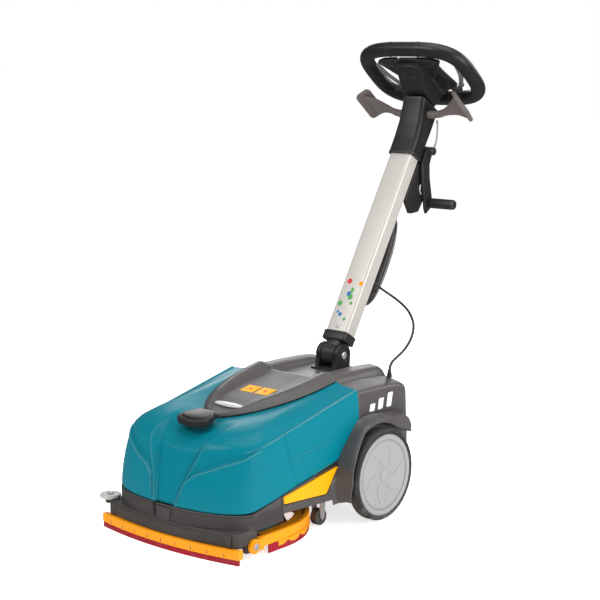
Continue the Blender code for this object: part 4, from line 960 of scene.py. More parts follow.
def hood_section(y, drop):
    half = [(0.2058, HOOD_FOOT), (0.203, 0.295 - drop), (0.197, 0.306 - drop), (0.185, 0.31 - drop),
            (0.15, 0.318 - drop), (0.14, 0.319 - drop), (0.132, 0.327 - drop / 2),
            (0.118, 0.335 - drop / 2), (0.09, 0.338 - drop / 2), (0.074, 0.333 - drop / 2),
            (0.062, 0.319), (0.05, 0.316)]
    return [(p.x, y, p.y) for p in filleted(both_halves(half), 0.0055, 4, closed=False)]


def build_hood():
    rear = BODY_REAR - 0.006
    stations = [TANK_REAR + 0.0006, 0.01, 0.08, rear]
    drops = [0.0, 0.001, 0.005, 0.01]
    rows = [hood_section(y, float(np.interp(y, stations, drops))) for y in np.linspace(stations[0], rear, 30)]
    hood = piece("rear_hood", grid_mesh(np.array(rows), flip=True), "grey_plastic", "chassis", ("rear_housing",),
                 40.0)
    thickened(hood, 0.0035)
    half = SIDE_INNER - GAP
    outline = [(x, z) for x, _, z in hood_section(rear, 0.01)]
    outline += [(-half, HOOD_FOOT), (-half, 0.086), (-half + 0.005, 0.081), (half - 0.005, 0.081),
                (half, 0.086), (half, HOOD_FOOT)]
    thickness = BODY_REAR - rear - GAP
    cover = plate_mesh(outline, thickness, 0.0022, "Y", (0, BODY_REAR - thickness / 2, 0))
    ribs = [box_mesh((-0.11, BODY_REAR - 0.002, z), (0.11, BODY_REAR + 0.0012, z + 0.006), 0.0011)
            for z in np.arange(0.13, 0.215, 0.017)]
    piece("rear_cover_moulding", merged(cover, *ribs), "grey_plastic", "chassis", ("rear_cover",))
    screws = [screw_mesh(0.005, 0.0024, "Y", (x, BODY_REAR, z))
              for x in (-0.165, 0.165) for z in (0.105, 0.2, 0.285)]
    piece("rear_cover_screws", merged(*screws), "bare_steel", "chassis")
    for name, side in mirrored("side_mark"):
        bars = []
        low = 0.254
        for y, tall in ((-0.04, 0.018), (-0.008, 0.026), (0.026, 0.034)):
            slant = tall * 0.25
            corner = [(y, low), (y + 0.019, low), (y + 0.019 + slant, low + tall), (y + slant, low + tall)]
            bar = plate_mesh(filleted(corner, 0.003, 3), 0.001, 0.0003, "X", (0, 0, 0))
            for vertex in bar.vertices:
                vertex.co.x = side * (vertex.co.x + 0.2061 - (vertex.co.z - HOOD_FOOT) * 0.0368)
            bars.append(bar)
        piece(name, outward(merged(*bars)), "mark_white", "chassis")


# ---------------------------------------------------------------- wheels and rollers
SPOKES = 6


def build_wheels():
    half = WHEEL_HALF
    tread = [(WHEEL_RADIUS, half - 0.006), (WHEEL_RADIUS, 0.0012), (WHEEL_RADIUS - 0.001, 0.0),
             (WHEEL_RADIUS, -0.0012), (WHEEL_RADIUS, -half + 0.006), (WHEEL_RADIUS - 0.004, -half + 0.001),
             (HUB_RADIUS + GAP, -half + 0.001), (HUB_RADIUS + GAP, half - 0.001), (HUB_RADIUS + 0.003, half),
             (WHEEL_RADIUS - 0.004, half - 0.001)]
    hub = [(0.0, half - 0.003), (0.0125, half - 0.003), (0.0145, half - 0.005), (0.0165, half - 0.0072),
           (0.05, half - 0.005), (0.08, half - 0.003), (0.0835, half - 0.0045), (0.087, half - 0.002),
           (0.094, half), (HUB_RADIUS, half - 0.003), (HUB_RADIUS, -half + 0.003),
           (0.09, -half + 0.003), (0.088, half - 0.015), (0.022, half - 0.018), (0.021, -half + 0.001),
           (0.0086, -half + 0.001), (0.0086, half - 0.008), (0.0, half - 0.008)]
    for name, side in mirrored("wheel"):
        axis = outward_axis(side)
        place = (side * WHEEL_MIDDLE, AXLE.y, AXLE.z)
        tyre = name.replace("wheel", "tyre")
        centre = name.replace("wheel", "hub")
        piece(f"{tyre}_tread", lathe_mesh(tread, axis, place, 128, True, 0.0016), "tyre_rubber", name, (tyre,))
        disc = lathe_mesh(hub, axis, place, 128, False, 0.0012)
        lines = []
        for number in range(SPOKES):
            start = math.tau * number / SPOKES + 0.35
            route = []
            for share in np.linspace(0.0, 1.0, 18):
                radius = 0.024 + 0.05 * share
                turn = start + side * 0.55 * share ** 1.5
                height = half - 0.007 + 0.004 * (radius - 0.0165) / 0.0635
                route.append((radius * math.cos(turn), radius * math.sin(turn), height))
            sizes = [0.0005 + 0.0011 * math.sin(math.pi * share) for share in np.linspace(0.04, 0.96, 18)]
            lines.append(moved(tube_mesh(route, sizes, 8), ALONG[axis], shift(*place)))
        ring = oval(0.0845, 0.0845, half - 0.0036, 96)
        piece(f"{centre}_disc", merged(disc, *lines), "hub_plastic", name, (centre,), 40.0)
        groove = moved(tube_mesh(ring, 0.0006, 8, True), ALONG[axis], shift(*place))
        piece(f"{centre}_ring", groove, "band_grey", name)
        cap = lathe_mesh([(0.0, half - 0.0022), (0.006, half - 0.0023), (0.0085, half - 0.003), (0.0, half - 0.0032)],
                         axis, place, 40)
        piece(f"{centre}_cap", cap, "hub_plastic", name)


def build_rollers():
    radius = 0.02
    for name, side in mirrored("support_roller"):
        profile = [(radius - 0.0018, 0.01), (radius, 0.008), (radius, -0.008), (radius - 0.0018, -0.01),
                   (0.0034, -0.01), (0.0034, 0.01)]
        place = (side * 0.1595, -0.176, radius)
        tyre = lathe_mesh(profile, "X", place, 48, True, 0.0008)
        piece(f"{name}_tyre", tyre, "tyre_rubber", name, (name,))
    profile = [(0.0225, 0.0045), (0.0248, 0.0034), (0.025, 0.0), (0.0248, -0.0034), (0.0225, -0.0045),
               (0.0042, -0.0045), (0.0042, 0.003), (0.009, 0.003), (0.0105, 0.0045)]
    piece("wall_roller_disc", lathe_mesh(profile, "Z", WALL_ROLLER, 64, True, 0.0006), "pale_plastic", "wall_roller",
          ("wall_roller",))
    base = DECK_LEDGE - 0.0005 + GAP - WALL_ROLLER.z
    pin = [(0.0, 0.0078), (0.0045, 0.0078), (0.0062, 0.007), (0.007, 0.0058), (0.007, 0.005), (0.0038, 0.005),
           (0.0038, base), (0.0, base)]
    piece("wall_roller_stud", lathe_mesh(pin, "Z", WALL_ROLLER, 32), "bare_steel", "chassis", ("wall_roller_pin",))


# ---------------------------------------------------------------- brush and squeegees
def build_brush():
    tufts = []
    for row, (radius, count, lean) in enumerate(((0.076, 30, 0.0), (0.096, 38, 0.003), (0.116, 46, 0.007),
                                                 (0.136, 54, 0.014))):
        for number in range(count):
            turn = math.tau * (number + 0.5 * (row % 2)) / count
            top = Vector((radius * math.cos(turn), radius * math.sin(turn), 0.031))
            foot = Vector(((radius + lean) * math.cos(turn + 0.02), (radius + lean) * math.sin(turn + 0.02), 0.0008))
            tufts.append(tube_rings(top, foot, 0.0034, 0.0062))
    mesh = merged(*tufts)
    skirt = lathe_mesh([(0.148, 0.0296), (BRUSH_RADIUS, 0.001), (BRUSH_RADIUS - 0.01, 0.001), (0.142, 0.0296)],
                       steps=180, closed=True)
    for vertex in skirt.vertices:
        turn = math.atan2(vertex.co.y, vertex.co.x)
        size = 1.0 - 0.006 * (0.5 + 0.5 * math.sin(turn * 60.0)) * (0.0296 - vertex.co.z) / 0.0296
        vertex.co.x *= size
        vertex.co.y *= size
    piece("bristle_tufts", moved(merged(mesh, skirt), shift(*BRUSH)), "nylon_bristle", "brush", ("brush_bristles",))
    disc = [(0.0, 0.048), (0.046, 0.048), (0.05, 0.0455), (0.13, 0.0455), (0.136, 0.048), (0.148, 0.048),
            (0.152, 0.044), (0.152, 0.033), (0.149, 0.03), (0.0, 0.03)]
    piece("brush_plate", lathe_mesh(disc, "Z", BRUSH, 128, False, 0.0012), "teal_plastic", "brush", ("brush_disc",))


def tube_rings(top, foot, thin, wide):
    """A tuft: a short splayed cone of eight sides."""
    points = []
    for centre, size in ((top, thin), (foot, wide)):
        for number in range(8):
            turn = math.tau * number / 8
            points.append((centre.x + size * math.cos(turn), centre.y + size * math.sin(turn), centre.z))
    faces = [(i, (i + 1) % 8, 8 + (i + 1) % 8, 8 + i) for i in range(8)]
    faces += [tuple(range(7, -1, -1)), tuple(range(8, 16))]
    return outward(mesh_from("tuft", points, faces))


def bowed_bar(half, front, depth):
    outer = bowed_front(half, front, FRONT_SQUEEGEE_BOW, 60)
    return outer + [(x, y + depth) for x, y in reversed(outer)]


def build_front_squeegee():
    low = 0.0125
    top = DECK_BOTTOM - GAP
    half = FRONT_SQUEEGEE_HALF
    bar = slab_mesh(bowed_bar(half, FRONT_SQUEEGEE_Y, 0.015), low, top, 0.002)
    piece("front_squeegee_bar", bar, "orange_plastic", "chassis", ("front_squeegee_carrier",))
    blade = slab_mesh(bowed_bar(half - 0.001, FRONT_SQUEEGEE_Y + 0.001, 0.005), 0.0, low - GAP, 0.0008)
    piece("front_blade_strip", blade, "red_rubber", "chassis", ("front_squeegee_blade",))
    ticks = []
    clips = []
    for x in np.linspace(-0.18, 0.18, 9):
        y = FRONT_SQUEEGEE_Y + FRONT_SQUEEGEE_BOW * (x / half) ** 2
        ticks.append(box_mesh((x - 0.0011, y - 0.0002, low + 0.003), (x + 0.0011, y + 0.004, low + 0.0115),
                              0.0003, 1))
        clips.append(box_mesh((x - 0.0048, y - 0.0006, low + 0.0005), (x + 0.0048, y + 0.004, low + 0.0028),
                              0.0005, 2))
    piece("front_bar_slots", merged(*ticks), "dark_plastic", "chassis")
    piece("front_bar_clips", merged(*clips), "orange_plastic", "chassis")


def horseshoe(radius, band, front, count=72):
    outer = [(radius, front)] + arc((0, 0), radius, 0.0, 180.0, count) + [(-radius, front)]
    inside = radius - band
    return outer + [(-inside, front)] + arc((0, 0), inside, 180.0, 0.0, count) + [(inside, front)]


def build_rear_squeegee():
    low = 0.0215
    top = 0.045
    radius = SQUEEGEE_RADIUS + 0.0015
    centre = (BRUSH.x, BRUSH.y)
    carrier = slab_mesh(horseshoe(radius, SQUEEGEE_BAND, -0.096), low, top, 0.0024, centre)
    flange = plate_mesh(horseshoe(radius - 0.002, 0.033, -0.06), 0.003, 0.001, centre=(BRUSH.x, BRUSH.y, 0.0405))
    parts = [carrier, flange]
    for side in (-1.0, 1.0):
        ear = [(0.0, 0.005), (0.015, 0.005), (0.0165, 0.0036), (0.0165, -0.0036), (0.015, -0.005), (0.0, -0.005)]
        parts.append(lathe_mesh(ear, "X", (side * SQUEEGEE_EAR, SQUEEGEE_PIVOT.y, SQUEEGEE_PIVOT.z), 48))
        middle = Vector((side * SQUEEGEE_EAR, SQUEEGEE_PIVOT.y + 0.014, 0.0305))
        size = Vector((0.0048, 0.015, 0.0132))
        parts.append(box_mesh(middle - size, middle + size, 0.0016))
        ring = oval(0.0125, 0.0125, 0.0048, 40)
        parts.append(moved(tube_mesh(ring, 0.0014, 8, True), ALONG[outward_axis(side)],
                           shift(side * SQUEEGEE_EAR, SQUEEGEE_PIVOT.y, SQUEEGEE_PIVOT.z)))
    turns = np.linspace(math.radians(-8.0), math.radians(188.0), 420)
    rows = []
    for share in np.linspace(0.0, 1.0, 7):
        wave = np.abs(np.sin(turns * 13.0)) ** 0.55
        lower = 0.0205 - 0.0105 * wave
        height = (low + 0.001) * (1 - share) + lower * share
        rows.append(np.stack([(radius + 0.0004) * np.cos(turns), BRUSH.y + (radius + 0.0004) * np.sin(turns), height],
                             axis=-1))
    scallops = grid_mesh(np.array(rows), flip=True)
    piece("rear_squeegee_frame", merged(*parts), "orange_plastic", "rear_squeegee", ("rear_squeegee_carrier",))
    skirt = piece("rear_squeegee_scallops", scallops, "orange_plastic", "rear_squeegee")
    thickened(skirt, 0.0014, 0.0)
    strip = slab_mesh(horseshoe(SQUEEGEE_RADIUS, 0.0045, -0.06), 0.0005, low - GAP, 0.0008, centre)
    piece("rear_blade_strip", strip, "red_rubber", "rear_squeegee", ("rear_squeegee_blade",))
    inset = radius - 0.0068
    groove = [(inset * math.cos(t), BRUSH.y + inset * math.sin(t), top - 0.0006)
              for t in np.linspace(0.0, math.pi, 120)]
    piece("rear_squeegee_rail", tube_mesh(groove, 0.0012, 8), "orange_plastic", "rear_squeegee")
    for name, side in mirrored("squeegee_bolt"):
        bolt = [(0.0, 0.0176), (0.0034, 0.0176), (0.0038, 0.0192), (0.0066, 0.019), (0.0078, 0.018), (0.008, 0.0156),
                (0.004, 0.0156), (0.004, 0.0), (0.0, 0.0)]
        mesh = lathe_mesh(bolt, outward_axis(side), (side * 0.201, SQUEEGEE_PIVOT.y, SQUEEGEE_PIVOT.z), 36)
        piece(f"{name}_head", mesh, "bare_steel", "chassis", (name,))


# ---------------------------------------------------------------- handle
def build_hinge():
    foot = box_mesh((-0.04, 0.033, 0.3166), (0.04, 0.1, 0.3206), 0.0012)
    drop = 0.319 - HANDLE_PIVOT.z
    parts = [foot]
    for side in (-1.0, 1.0):
        cheek = arc((0, 0), KNUCKLE_RADIUS, -10.0, 190.0, 40) + [(-0.033, drop), (0.026, drop)]
        parts.append(plate_mesh(cheek, 0.0125, 0.0022, "X", (side * 0.0278, HANDLE_PIVOT.y, HANDLE_PIVOT.z)))
        ring = oval(0.0165, 0.0165, 0.034, 48)
        parts.append(moved(tube_mesh(ring, 0.0012, 8, True), ALONG[outward_axis(side)], shift(*HANDLE_PIVOT)))
    piece("hinge_yoke", merged(*parts), "black_plastic", "chassis", ("hinge_bracket",))
    head = [(0.0, 0.036), (0.004, 0.036), (0.0046, 0.0378), (0.0074, 0.0374), (0.0092, 0.036), (0.0092, 0.0344),
            (0.0062, 0.0344), (0.0062, 0.0), (0.0, 0.0)]
    bolts = [lathe_mesh(head, axis, HANDLE_PIVOT, 40) for axis in ("X", "-X")]
    piece("hinge_bolt", merged(*bolts), "bare_steel", "chassis", ("hinge_pin",))


def build_knuckle():
    barrel = lathe_mesh([(0.0, 0.021), (0.024, 0.021), (0.0275, 0.0185), (0.0275, -0.0185), (0.024, -0.021),
                         (0.0, -0.021)], "X", steps=64)
    web = box_mesh((-0.0205, -0.02, 0.0), (0.0205, 0.02, 0.04), 0.004)
    collar = plate_mesh(rounded_rectangle(0.0365, 0.0245, 0.008), 0.024, 0.0025, centre=(0, 0, TUBE_START - 0.0124))
    band = plate_mesh(rounded_rectangle(0.0372, 0.0252, 0.008), 0.005, 0.0015, centre=(0, 0, TUBE_START - 0.004))
    piece("handle_knuckle_casting", moved(merged(barrel, web, collar, band), HANDLE), "black_plastic", "handle",
          ("handle_knuckle",))


def build_tube():
    length = TUBE_END - TUBE_START
    centre = (0, 0, (TUBE_END + TUBE_START) / 2)
    outer = plate_mesh(rounded_rectangle(TUBE_HALF_X, TUBE_HALF_Y, 0.0075, 8), length, centre=centre)
    bore = rounded_rectangle(TUBE_HALF_X - TUBE_WALL, TUBE_HALF_Y - TUBE_WALL, 0.005, 8)
    inner = plate_mesh(bore, length + 0.1, centre=centre)
    body = carve(outer, inner)
    piece("handle_extrusion", moved(body, HANDLE), "aluminium", "handle", ("handle_tube",), 30.0)
    front = -TUBE_HALF_Y
    screws = [screw_mesh(0.0052, 0.0022, axis, (0.0, y, 0.068)) for axis, y in (("-Y", front), ("Y", -front))]
    piece("tube_screws", moved(merged(*screws), HANDLE), "bare_steel", "handle")
    marks = {
        "mark_red": [(-0.0117, 0.1914, 0.005)],
        "orange_plastic": [(0.025, 0.1885, 0.0042)],
        "mark_green": [(0.007, 0.149, 0.0052), (-0.0179, 0.1291, 0.0048), (0.0123, 0.0884, 0.003),
                       (0.016, 0.133, 0.003)],
        "mark_blue": [(-0.001, 0.1575, 0.0046), (-0.0055, 0.0999, 0.0036), (-0.015, 0.106, 0.0026)],
    }
    for look, places in marks.items():
        dots = [lathe_mesh([(0.0, 0.0005), (size * 1.4, 0.0005), (size * 1.4 + 0.0004, 0.0), (0.0, 0.0)], "-Y",
                           (x, front, up), 28)
                for x, up, size in places]
        piece(f"tube_{look}", moved(merged(*dots), HANDLE), look, "handle")
    arrow = [(0.005, 0.176), (0.014, 0.168), (0.01, 0.168), (0.01, 0.16), (0.003, 0.16), (0.003, 0.168),
             (-0.001, 0.168)]
    arrow = plate_mesh(filleted(arrow, 0.0008, 2), 0.0006, 0.0, "Y", (0, front - 0.0002, 0))
    piece("tube_arrow", moved(arrow, HANDLE), "mark_green", "handle")


def ring_of(half, front, back, height, radius=0.012, count=6):
    outline = rounded_rectangle(half, (back - front) / 2, radius, count)
    return [(x, y + (back + front) / 2, height) for x, y in outline]


def lofted(sections, rows=22):
    """A loft whose sections flow smoothly into each other."""
    heights = [s[0] for s in sections]
    rings = []
    for height in np.linspace(heights[0], heights[-1], rows):
        values = [float(np.interp(height, heights, [s[k] for s in sections])) for k in (1, 2, 3)]
        rings.append(ring_of(*values, height))
    return rings


def build_neck():
    sections = ((0.56, 0.0385, -0.027, 0.0265), (0.605, 0.0385, -0.028, 0.027),
                (0.65, 0.037, -0.033, 0.03), (0.69, 0.0355, -0.044, 0.031),
                (0.713, 0.035, -0.052, 0.031))
    body = bevelled(loft_mesh(lofted(sections)), 0.0018, 3)
    hem = loft_mesh([ring_of(0.0389, -0.0275, 0.027, 0.5604), ring_of(0.0392, -0.0278, 0.0273, 0.5625),
                     ring_of(0.0392, -0.0278, 0.0273, 0.566), ring_of(0.0388, -0.0274, 0.0269, 0.568)])
    seams = []
    for side in (-1.0, 1.0):
        route = [(side * 0.0386, 0.0, 0.565), (side * 0.0386, -0.0005, 0.605), (side * 0.0371, -0.002, 0.65),
                 (side * 0.0356, -0.006, 0.69), (side * 0.0351, -0.01, 0.71)]
        seams.append(tube_mesh(smooth_route(route, 0.006), 0.0006, 8))
    piece("neck_moulding", moved(merged(body, hem, *seams), HANDLE), "black_plastic", "handle", ("neck",), 40.0)


def build_carry_handle():
    grip = [(0.032, 0.16), (0.052, 0.168), (0.064, 0.19), (0.069, 0.225), (0.07, 0.27),
            (0.068, 0.315), (0.062, 0.355), (0.05, 0.392), (0.032, 0.404)]
    bow = smooth_route([(0, back, up) for back, up in grip], 0.006)
    route = [Vector((0, TUBE_HALF_Y + GAP, bow[0].z)), *bow, Vector((0, TUBE_HALF_Y + GAP, bow[-1].z))]
    count = len(route)
    core = tube_mesh(route, 0.01, 20)
    rings = []
    for index in range(2, count - 2):
        along = (route[index + 1] - route[index - 1]).normalized()
        out = Vector((0, along.z, -along.y))
        if out.y < 0:
            out = -out
        centre = route[index] + out * 0.0062
        fade = math.sin(math.pi * (index - 2) / (count - 5)) ** 0.35
        rings.append([centre + Vector((p[0], 0, 0)) + out * p[1]
                      for p in rounded_rectangle(0.0118 * max(0.3, fade), 0.0046, 0.003, 3)])
    band = loft_mesh(rings)
    piece("carry_handle_core", moved(core, HANDLE), "black_plastic", "handle", ("carry_handle",))
    piece("carry_handle_band", moved(band, HANDLE), "band_grey", "handle")
    feet = [plate_mesh(rounded_rectangle(0.0135, 0.017, 0.005), 0.004, 0.0014, "Y", (0, TUBE_HALF_Y + 0.0022, up))
            for up in (bow[0].z, bow[-1].z)]
    piece("carry_handle_feet", moved(merged(*feet), HANDLE), "black_plastic", "handle")


def build_cable_channel():
    body = box_mesh((-0.008, TUBE_HALF_Y + GAP, 0.43), (0.008, TUBE_HALF_Y + 0.0065, 0.556), 0.0022)
    clips = [box_mesh((-0.0092, TUBE_HALF_Y + GAP, up), (0.0092, TUBE_HALF_Y + 0.0075, up + 0.009), 0.0016)
             for up in (0.442, 0.488, 0.534)]
    piece("cable_duct", moved(merged(body, *clips), HANDLE), "black_plastic", "handle", ("cable_channel",))


# ---------------------------------------------------------------- head
def loop_point(turn):
    power = 2 / LOOP_SQUARENESS
    across = math.copysign(abs(math.cos(turn)) ** power, math.cos(turn))
    back = math.copysign(abs(math.sin(turn)) ** power, math.sin(turn))
    return Vector((LOOP_HALF * across, LOOP_LENGTH * back, 0.0))


def even_loop(count):
    return evenly_spaced([loop_point(math.tau * index / 2880) for index in range(2881)], count)


def build_loop():
    route = even_loop(160)
    count = len(route)

    def outward_at(index):
        along = (route[(index + 1) % count] - route[index - 1]).normalized()
        return Vector((along.y, -along.x, 0.0))

    rings = []
    for index, centre in enumerate(route):
        out = outward_at(index)
        ring = []
        for number in range(72):
            turn = math.tau * number / 72
            seam = 0.0013 * sum(math.exp(-((turn - place) / 0.07) ** 2) for place in (0.75, 3.75))
            size = LOOP_TUBE - seam
            ring.append(centre + out * (size * math.cos(turn)) + Vector((0, 0, size * math.sin(turn) * 0.985)))
        rings.append(ring)
    mesh = loft_mesh(rings, closed=True)
    piece("steering_ring", moved(mesh, HEAD), "black_plastic", "handle", ("steering_loop",), 60.0)
    bands = []
    for share in (0.3, 0.2, 0.7, 0.8):
        index = int(count * share)
        out = outward_at(index)
        ring = [route[index] + (out * math.cos(t) + Vector((0, 0, math.sin(t)))) * (LOOP_TUBE + 0.0001)
                for t in np.linspace(0, math.tau, 48, endpoint=False)]
        bands.append(tube_mesh(ring, 0.0006, 8, True))
    piece("steering_ring_joints", moved(merged(*bands), HEAD), "cable_black", "handle")


def build_console():
    inner = LOOP_LENGTH - LOOP_TUBE - 0.0008
    half = [(0.05, -0.058), (0.0595, -0.041), (0.0705, 0.009), (0.083, 0.048), (0.081, 0.056),
            (0.048, 0.061), (0.04, inner)]
    body = plate_mesh(filleted(both_halves(half), 0.01, 5), 0.02, 0.005, centre=(0, 0, 0.002), rounds=4)
    under = box_mesh((-0.044, -0.056, -0.02), (0.044, 0.06, 0.008), 0.0045, 3)
    arms = []
    for side in (-1.0, 1.0):
        spoke = [(0.03, -0.082), (0.074, -0.0795), (0.0955, -0.0715), (0.098, -0.066), (0.0545, -0.004),
                 (0.03, -0.004)]
        arms.append(plate_mesh(filleted([(side * x, y) for x, y in spoke], 0.005, 4), 0.012, 0.0036,
                               centre=(0, 0, -0.0125), rounds=3))
        arms.append(box_mesh((side * 0.092 - 0.015, 0.0395, -0.0173), (side * 0.092 + 0.015, 0.0545, -0.006),
                             0.004))
        rib = smooth_route([(side * 0.04, -0.052, -0.0186), (side * 0.066, -0.06, -0.0188),
                            (side * 0.088, -0.069, -0.0184)], 0.004)
        arms.append(tube_mesh(rib, 0.0014, 8))
    wells = []
    for x in (-BUTTON_X, BUTTON_X):
        wells.append(lathe_mesh([(0.0084, 0.0124), (0.0088, 0.0132), (0.0108, 0.0132), (0.0116, 0.0118),
                                 (0.01, 0.0112), (0.0084, 0.0112)], centre=(x, BUTTON_Y, 0), steps=40, closed=True))
    bore = [(0.0, 0.02), (0.0085, 0.02), (0.0085, 0.003), (0.0, 0.003)]
    holes = [lathe_mesh(bore, centre=(x, BUTTON_Y, 0), steps=40) for x in (-BUTTON_X, BUTTON_X)]
    body = carve(body, *holes)
    panel = plate_mesh(rounded_rectangle(0.04, 0.019, 0.006), 0.0012, 0.0004, centre=(0, -0.018, 0.0122))
    piece("console_moulding", moved(merged(body, under, panel, *wells, *arms), HEAD), "black_plastic", "handle",
          ("control_console",), 35.0)
    switch = [(0.0, 0.0205), (0.005, 0.0206), (0.0074, 0.0212), (0.0081, 0.02), (0.0081, 0.0066), (0.0, 0.0066)]
    button = [(0.0, 0.0172), (0.0052, 0.0172), (0.0074, 0.0177), (0.0081, 0.0166), (0.0081, 0.0068), (0.0, 0.0068)]
    for name, x, profile, look in (("power_switch", -BUTTON_X, switch, "red_rubber"),
                                   ("mode_button", BUTTON_X, button, "pale_plastic")):
        cap = lathe_mesh(profile, centre=(x, BUTTON_Y, 0), steps=40)
        piece(f"{name}_cap", moved(cap, HEAD), look, name, (name,))


def build_head_cover():
    sections = ((-0.059, 0.0345, -0.01, 0.068), (-0.04, 0.038, -0.042, 0.07),
                (-0.0205, 0.042, -0.07, 0.072))
    body = bevelled(loft_mesh(lofted(sections, 16)), 0.0022, 3)
    arch = smooth_route([(-0.036, -0.056, -0.03), (-0.026, -0.0625, -0.0262), (0.0, -0.0655, -0.024),
                         (0.026, -0.0625, -0.0262), (0.036, -0.056, -0.03)], 0.003)
    bead = tube_mesh(arch, 0.0011, 8)
    piece("head_cover_moulding", moved(merged(body, bead), HEAD), "black_plastic", "handle", ("head_cover",), 40.0)
    screws = [moved(screw_mesh(0.0034, 0.0016, "Z", (0, 0, 0)), turn_x(math.radians(117.0)),
                    shift(x, -0.0405, -0.0415)) for x in (-0.018, 0.018)]
    piece("head_cover_screws", moved(merged(*screws), HEAD), "cable_black", "handle")


def build_paddles():
    for name, side in mirrored("paddle"):
        base = HEAD @ shift(side * 0.05, 0.05, -0.093)
        tilt = Euler((0, side * PADDLE_TILT, 0)).to_matrix().to_4x4()
        route = smooth_route([(0, 0, 0), (side * 0.022, 0.001, 0.004), (side * 0.046, -0.004, 0.011),
                              (side * 0.072, -0.013, 0.0145), (side * 0.096, -0.02, 0.0115)], 0.004)
        rings = []
        for index, centre in enumerate(route):
            share = index / (len(route) - 1)
            wide = 0.0098 + 0.002 * share + 0.056 * max(0.0, share - 0.32) ** 1.4
            thick = 0.0086 - 0.003 * share
            ring = rounded_rectangle(thick, wide, min(thick, wide) * 0.85, 5)
            lean = Euler((0, side * PADDLE_TILT * max(0.0, share - 0.2), 0)).to_matrix()
            rings.append([centre + lean @ Vector((0.0, p[1], p[0])) for p in (ring if side > 0 else ring[::-1])])
        lever = loft_mesh(rings)
        boss = lathe_mesh([(0.0, 0.0106), (0.0092, 0.0106), (0.0105, 0.0092), (0.0105, -0.0092), (0.0092, -0.0106),
                           (0.0, -0.0106)], "X", (side * -0.0031, 0, 0), 36)
        seat = shift(side * 0.0985, -0.0225, 0.0125) @ tilt
        shape = rounded_rectangle(0.0215, 0.049, 0.013, 8)
        pad = moved(plate_mesh(shape, 0.011, 0.005, rounds=5), seat)
        grips = []
        for face in (-1.0, 1.0):
            for x in (-0.0085, 0.0085):
                ridge = tube_mesh([(x, -0.036, face * 0.0048), (x, 0.036, face * 0.0048)], 0.0014, 8)
                grips.append(moved(ridge, seat))
            inset = [(x, y, face * 0.0047) for x, y in rounded_rectangle(0.0158, 0.0425, 0.006, 6)]
            grips.append(moved(tube_mesh(inset, 0.0009, 8, True), seat))
        screw = screw_mesh(0.0058, 0.002, outward_axis(side), (side * 0.0075, 0, 0))
        mesh = moved(merged(lever, boss, pad, *grips, screw), base)
        piece(f"{name}_casting", mesh, "lever_plastic", name, (name,), 40.0)


def build_thumb_levers():
    for name, side in mirrored("thumb_lever"):
        base = HEAD @ shift(side * 0.0985, 0.047, 0.003)
        route = smooth_route([(0, 0, 0), (side * 0.019, -0.041, -0.0005), (side * 0.0265, -0.086, -0.002)], 0.003)
        rings = []
        for index, centre in enumerate(route):
            share = index / (len(route) - 1)
            along = (route[min(index + 1, len(route) - 1)] - route[max(index - 1, 0)]).normalized()
            out = along.cross(Vector((0, 0, 1))).normalized()
            wide = 0.0066 * (0.55 + 0.45 * math.sin(math.pi * min(1.0, 0.15 + share * 0.85))) \
                * (1.0 if share < 0.95 else 0.8)
            rings.append([centre + out * (wide * math.cos(t)) + Vector((0, 0, 0.0046 * math.sin(t)))
                          for t in np.linspace(0, math.tau, 20, endpoint=False)])
        lever = loft_mesh(rings)
        foot = lathe_mesh([(0.0, 0.0052), (0.006, 0.0048), (0.0078, 0.003), (0.0078, -0.002), (0.0062, -0.004),
                           (0.0062, -0.0086), (0.0, -0.0086)], steps=32)
        piece(f"{name}_blade", moved(merged(lever, foot), base), "band_grey", name, (name,), 50.0)


